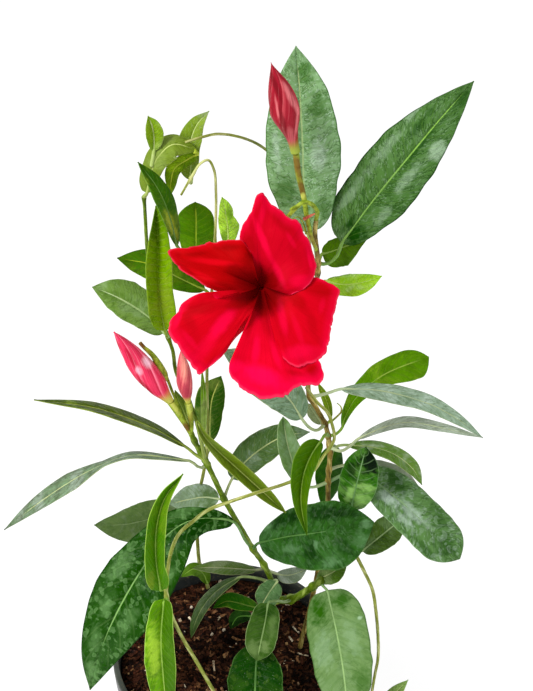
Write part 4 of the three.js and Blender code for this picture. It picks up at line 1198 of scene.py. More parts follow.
class Skin:
    """A material in the making: its shader, its coordinates and the effects that it calls on."""

    def __init__(self, name: str, effects: Effects) -> None:
        """Starts the material.

        Args:
            name: The material's name.
            effects: The shared effects.
        """
        self.material = bpy.data.materials.new(name)
        self.material.use_nodes = True
        self.effects = effects
        self.wiring = Wiring(self.material.node_tree)
        self.shader = self.material.node_tree.nodes["Principled BSDF"]
        self.place = self.wiring.node("ShaderNodeTexCoord").outputs["Object"]
        self.cover = self.wiring.node("ShaderNodeUVMap", uv_map="UVMap").outputs[0]

    def patch(self, scale: float, low: float, high: float) -> bpy.types.NodeSocket:
        """Returns the mask of soft patches."""
        made = self.wiring.group(
            self.effects.patches, Place=self.place, Scale=scale, Low=low, High=high
        )
        return made.outputs["Mask"]

    def streak(self, count: float, stretch: float, place: object = None) -> bpy.types.NodeSocket:
        """Returns streaks along the UV map, or along another place."""
        made = self.wiring.group(
            self.effects.streaks, Place=place or self.cover, Count=count, Stretch=stretch
        )
        return made.outputs["Value"]

    def grain(self, scale: float) -> bpy.types.NodeSocket:
        """Returns the height of a fine grain."""
        return self.wiring.group(self.effects.grain, Place=self.place, Scale=scale).outputs[0]

    def spots(
        self, tone: object, spots: Sequence[Spot], pale: Paint, dark: Paint,
        turn: float = 0.0, ragged: float = 1.0,
    ) -> bpy.types.NodeSocket:
        """Lays spots over a tone.

        Args:
            tone: The tone so far.
            spots: The spots.
            pale: The colour of those above zero.
            dark: The colour of those below zero.
            turn: The way that their length runs where they have no turn of their own.
            ragged: How ragged their edges are.

        Returns:
            The new tone.
        """
        for spot in spots:
            way = turn if spot.turn is None else spot.turn
            mask = self.wiring.group(
                self.effects.spot, Place=self.place, Across=spot.across, Down=spot.down,
                Length=spot.length, Width=spot.width, Turn=math.radians(way), Ragged=ragged,
            ).outputs[0]
            tone = self.tint(tone, pale if spot.strength > 0 else dark, mask, abs(spot.strength))
        return tone

    def tint(
        self, tone: object, colour: object, mask: object, strength: float = 1.0
    ) -> bpy.types.NodeSocket:
        """Lays a colour over a tone.

        Args:
            tone: The tone so far.
            colour: The colour that is laid over it.
            mask: Where it is laid.
            strength: How much of it at most.

        Returns:
            The new tone.
        """
        share = mask if strength == 1.0 else self.wiring.sum("MULTIPLY", mask, strength)
        return self.wiring.mix(share, tone, colour)

    def finish(
        self,
        tone: object,
        rough: object,
        height: object,
        strength: float,
        distance: float,
        **sockets: object,
    ) -> bpy.types.Material:
        """Wires the tone, the roughness and the relief to the shader.

        Args:
            tone: The base colour.
            rough: The roughness.
            height: The height of the relief.
            strength: The strength of its bump.
            distance: The depth of its bump in metres.
            **sockets: Constants for other sockets, with underscores for spaces.

        Returns:
            The finished material.
        """
        bump = self.wiring.node(
            "ShaderNodeBump", {"Strength": strength, "Distance": distance, "Height": height}
        )
        links = self.wiring.tree.links
        links.new(tone, self.shader.inputs["Base Color"])
        links.new(rough, self.shader.inputs["Roughness"])
        links.new(bump.outputs[0], self.shader.inputs["Normal"])
        for name, value in sockets.items():
            self.shader.inputs[name.replace("_", " ")].default_value = value
        return self.material




@dataclass(frozen=True)
class LeafFinish:
    """How one leaf looks: its colours, its gloss, its painted sheen and shade, and the relief of its
    blade.
    """

    body: Paint
    pale: Paint
    dark: Paint
    rib: Paint
    patch: float = 0.3
    gloss: float = 0.32
    shine: float = 0.04
    veins: float = 0.1
    count: float = 13.0
    slant: float = 0.15
    rib_width: float = 0.05
    rib_end: float = 0.95
    edge: float = 0.4
    split: float = 0.0
    folds: float = 24.0
    wrinkle: float = 0.4
    pebbles: float = 0.0
    specks: float = 0.0
    quilt: float = 0.18
    blister: float = 0.2
    uneven: float = 0.07
    face: Face = Face.UPPER
    spots: tuple[Spot, ...] = ()


def leaf_finish(
    body: tuple[int, int, int],
    pale: tuple[int, int, int],
    dark: tuple[int, int, int],
    rib: tuple[int, int, int] | None = None,
    spots: tuple[tuple[float, ...], ...] = (),
    **relief: object,
) -> LeafFinish:
    """Turns a leaf's display colours into its finish.

    Args:
        body: The display colour of the blade.
        pale: The colour of its painted sheen, glints and highlights, which also tints its paler underside.
        dark: The colour of its dark patches, and of the painted shade in its creases, its vein grooves and
            the half of the blade turned from the light.
        rib: The colour of its midrib and margin.
        spots: The soft spots of the blade, of painted sheen where pale, and of painted shade and darker
            tone where dark.
        **relief: Other fields of the finish.

    Returns:
        The finish.
    """
    red, green, blue = pale
    return LeafFinish(
        shade(*body),
        shade(*pale),
        shade(*dark),
        shade(*(rib or (min(red + 36, 205), min(green + 30, 215), min(blue + 20, 150)))),
        spots=tuple(Spot(*spot) for spot in spots),
        **relief,
    )


# Pale patches and pale spots are painted sheen and highlights; dark spots are painted shade, with some of
# the leaf's own darker tone; split paints shade over the right half of a blade above zero and the left
# half below; pebbles lays painted glints on the blisters.
FINISHES = {
    "leaf_top": leaf_finish(
        (126, 165, 112), (204, 225, 208), (55, 104, 26), (178, 204, 138), count=19, slant=0.05,
        patch=0.06, gloss=0.42, wrinkle=1.0, folds=44, rib_width=0.03, edge=-0.7,
        spots=((304, 72, 14, 10, -0.8), (318, 106, 22, 12, -0.7), (318, 156, 20, 10, 0.35),
               (322, 208, 12, 12, -0.6), (284, 192, 18, 12, -0.7), (277, 150, 22, 6, 0.3),
               (290, 110, 18, 6, -0.5)),
    ),
    "leaf_top_right": leaf_finish(
        (76, 115, 54), (148, 174, 143), (15, 61, 0), (140, 188, 80), count=15, slant=0.14,
        patch=0.08, wrinkle=1.0, folds=44, rib_width=0.028, edge=-0.8, split=0.25,
        spots=((438, 151, 15, 8, 0.7), (408, 178, 24, 6, 0.4), (384, 214, 15, 6, 0.35),
               (356, 236, 16, 11, -1), (462, 100, 14, 8, -0.6), (352, 192, 28, 6, 0.35),
               (385, 150, 32, 6, 0.35), (412, 114, 14, 5, 0.5), (349, 224, 12, 6, -0.9),
               (420, 125, 26, 5, -0.6), (420, 146, 30, 3, -0.7)),
    ),
    "leaf_top_back": leaf_finish((76, 115, 2), (34, 71, 4), (42, 72, 0), (150, 176, 80)),
    "leaf_bright_right": leaf_finish((162, 214, 42), (228, 255, 193), (121, 182, 1), (196, 220, 130)),
    "leaf_tip_bright": leaf_finish(
        (124, 149, 45), (219, 216, 229), (97, 126, 3), (200, 214, 140), split=-0.5
    ),
    "leaf_pointed": leaf_finish(
        (60, 108, 2), (206, 213, 64), (29, 77, 0), (120, 160, 80), patch=0.2, split=0.3,
        spots=((172, 226, 20, 4, 0.4, 70), (150, 176, 16, 4, -0.5, 50)),
    ),
    "leaf_folded": leaf_finish(
        (116, 158, 1), (146, 164, 44), (71, 112, 0), (140, 166, 60), count=20, slant=0.02,
        rib_width=0.01, rib_end=0.16, veins=0.6,
        spots=((156, 222, 30, 14, -0.8), (164, 300, 26, 12, 0.4)),
    ),
    "leaf_left_upper": leaf_finish((57, 101, 2), (116, 139, 17), (28, 55, 0)),
    "leaf_left_middle": leaf_finish((107, 140, 61), (148, 175, 128), (64, 103, 3), wrinkle=0.6),
    "leaf_middle_back": leaf_finish(
        (79, 129, 1), (119, 150, 23), (51, 98, 0), veins=0.15, count=10, split=0.35
    ),
    "leaf_small_wavy": leaf_finish(
        (191, 248, 70), (255, 255, 255), (81, 142, 0), blister=0.4, edge=0.7,
        spots=((229, 214, 12, 4, -0.7, 80), (224, 240, 10, 5, -0.5, 80)),
    ),
    "leaf_long_left": leaf_finish((77, 101, 6), (161, 192, 76), (28, 59, 0), quilt=0.08),
    "leaf_twisted_left": leaf_finish(
        (114, 141, 105), (177, 183, 180), (39, 44, 4), quilt=0.06, wrinkle=0.7
    ),
    "leaf_back_grey": leaf_finish(
        (84, 107, 55), (127, 136, 121), (51, 82, 28), (122, 142, 94), gloss=0.6, rib_width=0.02
    ),
    "leaf_arch_upper": leaf_finish(
        (75, 128, 1), (127, 146, 34), (57, 116, 0), (168, 204, 84), count=18, quilt=0.1,
        split=-0.15, edge=0.7, spots=((150, 580, 12, 6, 0.4), (170, 500, 20, 5, 0.3, -60)),
    ),
    "leaf_arch_lower": leaf_finish(
        (100, 158, 1), (168, 210, 56), (55, 101, 0), (176, 212, 96), count=17, quilt=0.18,
        split=-0.85, edge=0.8, wrinkle=0.7, folds=14,
        spots=((154, 650, 30, 8, 0.8, 88), (156, 612, 12, 10, -0.4, 0)),
    ),
    "leaf_big_left": leaf_finish(
        (25, 71, 1), (99, 141, 80), (11, 55, 0), (140, 184, 104), count=11, quilt=0.22,
        blister=0.5, patch=0.12, gloss=0.28, rib_width=0.026, pebbles=0.55, specks=0.2, edge=-0.5,
        wrinkle=0.5, rib_end=0.85,
        spots=((194, 528, 40, 14, -1.0, -30), (186, 511, 26, 6, 0.4, -25), (229, 516, 16, 9, -1.0, 30),
               (120, 566, 20, 10, 0.5, -50), (106, 606, 14, 8, 0.6, -70),
               (96, 640, 16, 8, 0.4, -80), (92, 672, 14, 8, 0.7, -80), (128, 622, 18, 9, 0.4, -50),
               (147, 590, 18, 9, -0.6, -60), (160, 560, 14, 8, -0.5, -60), (112, 640, 12, 6, -0.4, -60),
               (170, 575, 12, 6, 0.4, -60)),
    ),
    "leaf_pale_back": leaf_finish(
        (153, 176, 146), (212, 223, 242), (72, 103, 38), gloss=0.5, spots=((210, 498, 16, 14, -0.8, 0),)
    ),
    "leaf_olive_strip": leaf_finish((107, 134, 29), (140, 157, 83), (93, 108, 7), quilt=0.06),
    "leaf_centre_back": leaf_finish((85, 115, 62), (173, 188, 176), (56, 91, 23), wrinkle=0.7),
    "leaf_centre_folded": leaf_finish((109, 142, 87), (152, 177, 145), (76, 112, 27)),
    "leaf_centre_hanging": leaf_finish(
        (65, 103, 1), (93, 124, 3), (40, 89, 0), (150, 184, 74), patch=0.3
    ),
    "leaf_centre_dark": leaf_finish((35, 83, 0), (74, 129, 25), (14, 66, 0)),
    "leaf_under_flower": leaf_finish((119, 148, 116), (174, 196, 174), (66, 97, 53), wrinkle=0.9),
    "leaf_right_blunt": leaf_finish(
        (96, 153, 1), (164, 193, 51), (69, 112, 0), (168, 200, 80), patch=0.35
    ),
    "leaf_right_long": leaf_finish((167, 195, 166), (236, 255, 244), (103, 135, 91), wrinkle=0.8),
    "leaf_right_narrow": leaf_finish((175, 192, 168), (255, 255, 255), (66, 86, 48), edge=-0.3),
    "leaf_right_drooping": leaf_finish((109, 149, 56), (255, 255, 255), (66, 103, 12), split=0.3),
    "leaf_right_curled": leaf_finish(
        (45, 107, 3), (154, 203, 107), (1, 21, 0), (136, 178, 116), veins=0.3, count=8, quilt=0.3,
        gloss=0.28, patch=0.3, rib_width=0.035,
        spots=((372, 462, 20, 13, -1.0, 80), (352, 470, 12, 7, -0.7, 110), (350, 494, 10, 5, 0.8, 120),
               (361, 500, 9, 9, 0.6, 0), (366, 487, 14, 4, 0.7, 10), (353, 510, 10, 6, -0.3, 0)),
    ),
    "leaf_right_big": leaf_finish(
        (87, 125, 67), (182, 201, 187), (28, 70, 9), (146, 176, 128), quilt=0.22, blister=0.4,
        patch=0.04, gloss=0.28, pebbles=0.15, rib_end=0.45, wrinkle=0.9, specks=0.15,
        spots=((396, 482, 20, 9, -0.8, 50), (388, 498, 15, 7, 0.7, 45), (412, 512, 24, 7, 0.45, 45),
               (440, 520, 22, 9, -0.5, 60), (446, 546, 16, 14, -0.7, 45), (424, 548, 20, 6, -0.6, 45),
               (404, 520, 14, 5, 0.4, 45)),
    ),
    "leaf_right_edge": leaf_finish((136, 146, 124), (182, 186, 175), (90, 116, 70)),
    "leaf_right_lower": leaf_finish((78, 108, 37), (143, 173, 124), (12, 50, 1), wrinkle=0.6),
    "leaf_wide_centre": leaf_finish(
        (42, 88, 24), (100, 140, 94), (12, 48, 4), (96, 140, 66), quilt=0.2, blister=0.3,
        pebbles=0.14, gloss=0.28, patch=0.15, rib_width=0.03, rib_end=0.5, wrinkle=0.8,
        spots=((269, 525, 9, 4, 0.8, -50), (284, 520, 18, 9, -0.9, -20), (291, 549, 10, 6, 0.5, -10),
               (311, 553, 13, 10, -0.9, 80), (316, 546, 7, 2.5, 0.6, 80), (331, 563, 10, 5, 0.5, -10),
               (362, 541, 12, 11, 0.3, 0), (366, 524, 7, 5, 0.7, 0), (328, 513, 34, 9, -0.9, 0),
               (345, 548, 18, 8, -0.6, 30)),
    ),
    "leaf_front_right": leaf_finish(
        (109, 141, 82), (149, 179, 140), (42, 92, 5), (156, 190, 122), quilt=0.15, patch=0.12,
        blister=0.35, wrinkle=0.4, rib_width=0.032, edge=-0.4,
        spots=((319, 612, 20, 11, -1, 80), (341, 600, 13, 11, -0.9, 40), (362, 680, 16, 12, -0.6, 80),
               (324, 650, 24, 10, 0.35, 80), (352, 640, 22, 9, 0.3, 70), (360, 618, 3, 2, 1, 0)),
    ),
    "leaf_crinkled": leaf_finish((95, 134, 81), (171, 188, 149), (47, 90, 33), blister=0.6, wrinkle=0.9),
    "leaf_spoon": leaf_finish(
        (60, 94, 28), (106, 132, 74), (21, 57, 1), (150, 178, 112), edge=0.9, patch=0.3,
        spots=((266, 612, 16, 7, -0.8, 0), (252, 648, 10, 10, 0.6, 0), (265, 646, 7, 7, 0.9, 0),
               (272, 626, 14, 5, 0.4, 100)),
    ),
    "leaf_front_dark": leaf_finish(
        (19, 69, 2), (79, 115, 37), (2, 38, 0), (104, 150, 74), blister=0.4, pebbles=0.35,
        specks=0.3, gloss=0.28, patch=0.2, rib_width=0.035, edge=0.5, split=-0.4,
    ),
    "leaf_dusty_back": leaf_finish((83, 110, 40), (156, 161, 133), (47, 80, 7), specks=0.5),
    "leaf_narrow_low": leaf_finish((73, 103, 47), (148, 172, 109), (30, 65, 12), quilt=0.06),
    "leaf_centre_upright": leaf_finish((45, 88, 1), (169, 183, 87), (24, 71, 0)),
    "sprout_tip": leaf_finish((121, 155, 16), (209, 221, 151), (86, 128, 1), quilt=0.05),
    "sprout_cupped": leaf_finish((109, 131, 38), (156, 176, 100), (94, 120, 6), quilt=0.05),
    "sprout_fold": leaf_finish((99, 137, 2), (211, 255, 40), (64, 97, 0), quilt=0.05),
    "sprout_pale_strip": leaf_finish((139, 194, 35), (253, 255, 182), (24, 51, 1), quilt=0.02),
    "sprout_grey": leaf_finish((124, 138, 96), (144, 158, 118), (106, 120, 70), quilt=0.05),
    "sprout_bright_strip": leaf_finish((134, 168, 34), (164, 190, 84), (116, 146, 8), quilt=0.02),
    "sprout_bud_back": leaf_finish((98, 122, 34), (130, 150, 70), (70, 94, 14), quilt=0.02),
    "sprout_soil_back": leaf_finish((84, 124, 24), (124, 164, 66), (56, 84, 10), edge=0.7),
    "sprout_over_soil": leaf_finish((43, 106, 4), (151, 173, 54), (11, 89, 1), (150, 180, 70), edge=0.9),
    "sprout_round": leaf_finish((21, 56, 11), (92, 164, 56), (1, 15, 1), quilt=0.05),
    "sprout_right_grey": leaf_finish((139, 155, 132), (255, 255, 255), (62, 86, 40), quilt=0.05),
    "sprout_curled": leaf_finish((75, 113, 24), (187, 205, 143), (23, 59, 1), quilt=0.05),
    "sprout_end_right": leaf_finish((128, 160, 80), (172, 188, 142), (104, 138, 50), quilt=0.05),
    "sprout_end_down": leaf_finish((74, 108, 44), (112, 142, 80), (52, 84, 20), quilt=0.05),
}


@dataclass
class Leaf:
    """A leaf: its blade with ribs, swells and blisters, and its stalk with the rib beneath."""

    plan: LeafPlan
    finish: LeafFinish
    thickness: float = 0.42
    blade_end: float = 0.45
    camber: float = 0.1
    waves: float = 3.0
    rib_groove: float = 0.3
    stalk_radius: float = 0.82
    rib: SmoothPath = field(init=False)
    widest: float = field(init=False)
    seed: Vector = field(init=False)

    def __post_init__(self) -> None:
        """Lays out the rib on the front view."""
        self.rib = SmoothPath(Vector(place) for place in self.plan.rib)
        self.widest = max(
            math.hypot(row[1] + row[3], row[4] - row[2]) for row in self.plan.sides
        )
        self.seed = Vector(self.plan.rib[0]) * 1.7

    def profile(self, share: float) -> float:
        """Returns how wide the blade is at a share of its length, against its widest."""
        peak = self.plan.peak
        if share < peak:
            return (1 - (1 - share / peak) ** self.plan.base) ** (1 / self.plan.base)
        return 1 - ((share - peak) / (1 - peak)) ** self.plan.tip

    def sides_at(self, share: float) -> tuple[float, ...]:
        """Returns the row of sides at a share of the rib."""
        rows = self.plan.sides
        for low, high in zip(rows, rows[1:]):
            if low[0] <= share <= high[0]:
                near = (share - low[0]) / (high[0] - low[0])
                return tuple(blend(a, b, near) for a, b in zip(low, high))
        return rows[0] if share < rows[0][0] else rows[-1]

    def skin(self, share: float, side: float) -> Vector:
        """Finds a point of the plain blade.

        Args:
            share: The share of the rib.
            side: The place across, from -1 at the left margin to 1 at the right.

        Returns:
            The point in millimetres.
        """
        centre, along = self.rib.point(share), self.rib.tangent(share)
        length = math.hypot(along.x, along.y)
        _, left, left_depth, right, right_depth = self.sides_at(share)
        profile, out, turn = self.profile(share), abs(side), (1 if side < 0 else -1)
        uneven = noise.noise(Vector((share * 5.0, math.copysign(3.0, side), 0)) + self.seed)
        uneven += 0.5 * noise.noise(Vector((share * 13.0, math.copysign(3.0, side), 5)) + self.seed)
        width = (left if side < 0 else right) * profile * (1 + self.finish.uneven * uneven)
        width = max(width, self.blade_end) * out
        margin = math.sin(math.tau * self.waves * share + (0 if side < 0 else 2))
        fold = (left_depth if side < 0 else right_depth) * profile * out
        hollow = -self.camber * width * (1 - out) * 2
        ripple = self.plan.wave * margin * profile * out * out
        return VIEW.in_view(
            centre.x + turn * width * along.y / length,
            centre.y - turn * width * along.x / length,
            VIEW.depth_of(centre.y, centre.z) + fold + hollow + ripple,
        )

    def relief(self, share: float, side: float, place: Vector) -> float:
        """Finds how far the living blade stands off the plain one.

        Args:
            share: The share of the rib.
            side: The place across.
            place: The point of the plain blade.

        Returns:
            Millimetres along the normal.
        """
        out = abs(side)
        half = max(self.widest * 0.25 * self.profile(share), 0.2)
        scale = min(half / 6.0, 1.0) * (1 - out**6)
        phase = (share - self.finish.slant * out**1.2) * self.finish.count % 1.0
        swell = 1 - (abs(phase - 0.5) * 2) ** 2
        groove = math.exp(-((out * half / 0.7) ** 2)) * ease(0, 0.5, self.finish.rib_end)
        cloud = noise.noise(place * 0.11 + self.seed) + 0.5 * noise.noise(place * 0.27 + self.seed)
        quilt = self.finish.quilt * (swell - 0.5) * ease(0.0, 0.25, out)
        return (quilt + self.finish.blister * cloud) * scale - self.rib_groove * groove * min(scale * 2, 1)

    def build(self, bm: bmesh.types.BMesh) -> None:
        """Adds the blade and its stalk to a mesh.

        Args:
            bm: The mesh that takes them.
        """
        large = self.widest > 38
        columns, rows = (34, 88) if large else (20, 52)
        front = self.finish.face is Face.UPPER

        def place(across: float, along: float) -> Vector:
            """Returns the point of the plain blade, with its columns closer near the rib."""
            spread = across * 2 - 1
            return self.skin(along, math.copysign(abs(spread) ** 1.2, spread))

        faces = sheet(bm, columns, rows, place, 0 if front else 1)
        verts = list({vert for face in faces for vert in face.verts})
        for face in faces:
            face.normal_update()
        for vert in verts:
            vert.normal_update()
        cover = bm.loops.layers.uv["UVMap"]
        shares = {vert: vert.link_loops[0][cover].uv.copy() for vert in verts}
        sign = 1 if front else -1
        for face in faces:
            for loop in face.loops:
                spread = loop[cover].uv.x * 2 - 1
                loop[cover].uv.x = 0.5 + 0.5 * math.copysign(abs(spread) ** 1.2, spread)
        for vert, uv in shares.items():
            spread = uv.x * 2 - 1
            side = math.copysign(abs(spread) ** 1.2, spread)
            vert.co += vert.normal * (sign * self.relief(uv.y, side, vert.co))
        kept = set(faces)
        wall = self.thickness * (1.0 if large else 0.85)
        made = bmesh.ops.solidify(bm, geom=faces, thickness=wall)["geom"]
        for part in made:
            if isinstance(part, bmesh.types.BMFace) and part not in kept:
                part.material_index = 1 if front else 0
                part.smooth = True
        self._stalk(bm, wall)

    def _stalk(self, bm: bmesh.types.BMesh, wall: float) -> None:
        """Adds the stalk, which runs on as a rib on the blade's back."""
        points = [VIEW.at(place) for place in self.plan.stalk]
        radii = [self.stalk_radius * 1.35] + [self.stalk_radius] * (len(points) - 1)
        for share, radius in ((0.0, 0.95), (0.08, 0.8), (0.25, 0.62), (0.5, 0.45), (0.8, 0.2)):
            here, ahead = self.skin(share, 0), self.skin(share + 0.02, 0)
            across = self.skin(share + 0.01, 0.3) - self.skin(share + 0.01, -0.3)
            back = (ahead - here).cross(across).normalized()
            points.append(here + back * (wall * 0.9 + self.rib_groove * 0.5 if share else 0.0))
            radii.append(self.stalk_radius * radius)
        path = SmoothPath(points, 12)
        marks = [path.knot_share(k) for k in range(len(points))]

        def radius(share: float, _angle: float) -> float:
            """Returns the radius between the two nearest marks."""
            for k in range(len(marks) - 1):
                if share <= marks[k + 1]:
                    near = (share - marks[k]) / max(marks[k + 1] - marks[k], 1e-6)
                    return blend(radii[k], radii[k + 1], near)
            return radii[-1]

        tube(bm, path, radius, 10, 34, 2)

    def dress_face(self, effects: Effects, under: bool) -> bpy.types.Material:
        """Makes the skin of one face of the blade.

        Args:
            effects: The shared effects.
            under: Whether it is the underside, which is paler and duller.

        Returns:
            The material.
        """
        look = self.finish
        skin = Skin(f"{self.plan.name}_{'under' if under else 'upper'}", effects)
        wiring = skin.wiring
        veins = wiring.group(
            effects.veins, Place=skin.cover, Count=look.count, Slant=look.slant,
            Rib=look.rib_width, Edge=0.05,
        )
        split = wiring.node("ShaderNodeSeparateXYZ", {0: skin.cover})
        across, along = split.outputs[0], split.outputs[1]
        rays = wiring.node("ShaderNodeCombineXYZ", {0: across, 1: veins.outputs["Ray"]})
        leather = wiring.group(
            effects.creases, Place=rays.outputs[0], Across=look.folds * 0.22, Along=look.folds
        )
        folds = leather.outputs["Value"]
        body = tuple(blend(a, b, 0.5 if under else 0.0) for a, b in zip(look.body, look.pale))
        # Painted sheen in soft pale patches.
        tone = skin.tint(body, look.pale, skin.patch(75.0, 0.5, 0.66), look.patch)
        tone = skin.tint(tone, look.dark, skin.patch(130.0, 0.46, 0.64), look.patch * 1.3)
        # Painted shade in the fine creases, and painted sheen on the skin between them.
        tone = skin.tint(tone, look.dark, folds, look.wrinkle * 0.6)
        tone = skin.tint(tone, look.pale, leather.outputs["Sheen"], look.wrinkle * 0.28)
        # Painted shade in the grooves along the side veins.
        vein_groove_shade = wiring.step(veins.outputs["Swell"], 0.0, 0.8, 0.3, 0.0)
        tone = skin.tint(tone, look.dark, vein_groove_shade)
        height = wiring.sum("MULTIPLY", folds, -look.wrinkle)
        # Painted shade over the half of the blade that is turned from the light: the right half for a
        # split above zero, the left half below.
        if look.split:
            half = wiring.step(across, 0.47, 0.53)
            if look.split < 0:
                half = wiring.sum("SUBTRACT", 1.0, half)
            tone = skin.tint(tone, look.dark, half, abs(look.split))
        # Pale spots are painted sheen and highlights; dark spots are painted shade, with some of the
        # leaf's own darker tone.
        chord = self.rib.knots[-1] - self.rib.knots[0]
        way = math.degrees(math.atan2(chord.y, chord.x))
        tone = skin.spots(tone, look.spots, look.pale, look.dark, way)
        # Painted glints on the blisters, which also raise the relief.
        if look.pebbles and not under:
            bumps = wiring.group(effects.pebbles, Place=skin.place, Scale=290.0)
            tone = skin.tint(tone, look.pale, bumps.outputs["Mask"], look.pebbles)
            height = wiring.sum("ADD", height, bumps.outputs["Height"])
        if look.specks and not under:
            dots = skin.patch(1500.0, 0.66, 0.72)
            tone = skin.tint(tone, shade(190, 206, 180), dots, look.specks)
        tone = skin.tint(tone, look.rib, veins.outputs["Lateral"], look.veins)
        fade = wiring.step(along, look.rib_end - 0.15, look.rib_end, 0.9, 0.0)
        tone = skin.tint(tone, look.rib, wiring.sum("MULTIPLY", veins.outputs["Midrib"], fade))
        margin = look.rib if look.edge > 0 else look.dark
        tone = skin.tint(tone, margin, veins.outputs["Margin"], abs(look.edge))
        height = wiring.sum("ADD", height, wiring.sum("MULTIPLY", veins.outputs["Swell"], 0.4))
        height = wiring.sum("ADD", height, wiring.sum("MULTIPLY", skin.grain(1400.0), 0.15))
        gloss = min(look.gloss + (0.2 if under else 0.0), 1.0)
        rough = wiring.step(folds, 0.0, 1.0, gloss, gloss + 0.12)
        return skin.finish(
            tone, rough, height, 0.6, 0.0006,
            Specular_IOR_Level=look.shine * (0.5 if under else 1.0),
        )

    def dress_stalk(self, effects: Effects) -> bpy.types.Material:
        """Makes the skin of the stalk.

        Args:
            effects: The shared effects.

        Returns:
            The material.
        """
        skin = Skin(f"{self.plan.name}_stalk", effects)
        light = tuple(blend(a, b, 0.6) for a, b in zip(self.finish.body, self.finish.rib))
        cloud = skin.patch(260.0, 0.35, 0.7)
        tone = skin.tint(light, self.finish.body, cloud, 0.4)
        rough = skin.wiring.step(cloud, 0.0, 1.0, 0.42, 0.55)
        return skin.finish(tone, rough, skin.grain(1200.0), 0.3, 0.0003, Specular_IOR_Level=0.25)


@dataclass
class Foliage:
    """All leaves, and the small young leaves that are fused to their stems."""

    leaves: tuple[LeafPlan, ...]
    sprouts: tuple[LeafPlan, ...]
    effects: Effects

    def build(self) -> None:
        """Builds and dresses each leaf."""
        for plan in self.leaves + self.sprouts:
            leaf = Leaf(plan, FINISHES[plan.name])
            bm = bmesh.new()
            leaf.build(bm)
            skins = [
                leaf.dress_face(self.effects, under=False),
                leaf.dress_face(self.effects, under=True),
                leaf.dress_stalk(self.effects),
            ]
            finish_piece(f"{plan.name}_blade", bm, skins, plan.node)


@dataclass(frozen=True)
class BarkFinish:
    """How a stem's skin looks."""

    body: Paint
    light: Paint
    dark: Paint
    fibre: float
    gloss: float


# The light colour of each bark is a painted highlight, and also the colour of its pale specks.
BARKS = {
    Bark.BROWN: BarkFinish(shade(146, 122, 56), shade(202, 186, 112), shade(66, 50, 12), 0.7, 0.6),
    Bark.GREEN: BarkFinish(shade(98, 126, 14), shade(156, 178, 80), shade(50, 74, 2), 0.5, 0.42),
    Bark.OLIVE: BarkFinish(shade(138, 148, 60), shade(200, 204, 132), shade(84, 84, 20), 0.25, 0.46),
}


@dataclass
class Stems:
    """The twining stems, swollen where leaves and side stems leave them."""

    plans: tuple[StemPlan, ...]
    starts: list[Vector]
    effects: Effects
    root_depth: float = 14.0
    swelling: float = 0.42
    swelling_length: float = 2.4

    def build(self) -> None:
        """Builds and dresses each stem."""
        for plan in self.plans:
            points = [VIEW.at(place) for place in plan.path]
            if plan.rooted:
                points.insert(0, points[0] - Vector((0, 0, self.root_depth)))
            path = SmoothPath(points)
            bm = bmesh.new()
            steps = max(int(path.length / 0.9), 40)
            tube(bm, path, self._radius(plan, path), 14, steps)
            skins = [self.dress(plan, path.length)]
            finish_piece(f"{plan.name}_bark", bm, skins, plan.name)

    def _radius(self, plan: StemPlan, path: SmoothPath) -> Callable[[float, float], float]:
        """Gives a stem's radius: a taper, a swelling at each node and a faint unevenness.

        Args:
            plan: The stem.
            path: Its line.

        Returns:
            The radius for a share of the length and an angle.
        """
        nodes = [share * path.length for share, gap in map(path.nearest, self.starts) if gap < 2.5]

        def radius(share: float, angle: float) -> float:
            """Returns the radius."""
            here = share * path.length
            swell = max(
                (math.exp(-(((here - node) / self.swelling_length) ** 2)) for node in nodes),
                default=0.0,
            )
            seed = Vector((math.cos(angle), math.sin(angle), here * 0.25))
            rough = noise.noise(seed * 1.3) * 0.09 + noise.noise(seed * 3.1) * 0.04
            return plan.radius * (1 - plan.taper * share) * (1 + self.swelling * swell + rough)

        return radius

    def dress(self, plan: StemPlan, length: float) -> bpy.types.Material:
        """Makes a stem's bark: long winding fibres, pale specks and a painted highlight in winding
        stripes.

        Args:
            plan: The stem.
            length: Its length in millimetres.

        Returns:
            The material.
        """
        finish = BARKS[plan.bark]
        skin = Skin(f"{plan.name}_skin", self.effects)
        wiring = skin.wiring
        split = wiring.node("ShaderNodeSeparateXYZ", {0: skin.cover})
        run = wiring.sum("MULTIPLY", split.outputs[1], length)
        wound = wiring.sum("ADD", split.outputs[0], wiring.sum("MULTIPLY", run, 0.02))
        strand = wiring.node("ShaderNodeCombineXYZ", {0: wound, 1: run}).outputs[0]
        fibres = skin.streak(9.0, 0.12, strand)
        highlight_bands = skin.streak(3.0, 0.05, strand)
        specks = skin.patch(900.0, 0.6, 0.7)
        # Painted highlight in winding stripes along the stem.
        tone = skin.tint(finish.body, finish.light, wiring.step(highlight_bands, 0.45, 0.62))
        tone = skin.tint(tone, finish.dark, skin.patch(110.0, 0.48, 0.62), finish.fibre)
        tone = skin.tint(tone, finish.dark, wiring.step(fibres, 0.5, 0.64), finish.fibre)
        tone = skin.tint(tone, finish.light, specks, 0.5)
        height = wiring.sum("ADD", fibres, wiring.sum("MULTIPLY", skin.grain(1100.0), 0.5))
        rough = wiring.step(highlight_bands, 0.3, 0.7, finish.gloss, finish.gloss + 0.12)
        return skin.finish(tone, rough, height, 0.7, 0.0005, Specular_IOR_Level=0.1)


@dataclass(frozen=True)
class PetalPlan:
    """A petal on the front view: its throat angles, its margin clockwise, and its colours."""

    name: str
    start: float
    end: float
    margin: tuple[tuple[float, float], ...]
    body: Paint
    highlight_and_rose: Paint
    dark: Paint
    spots: tuple[Spot, ...]
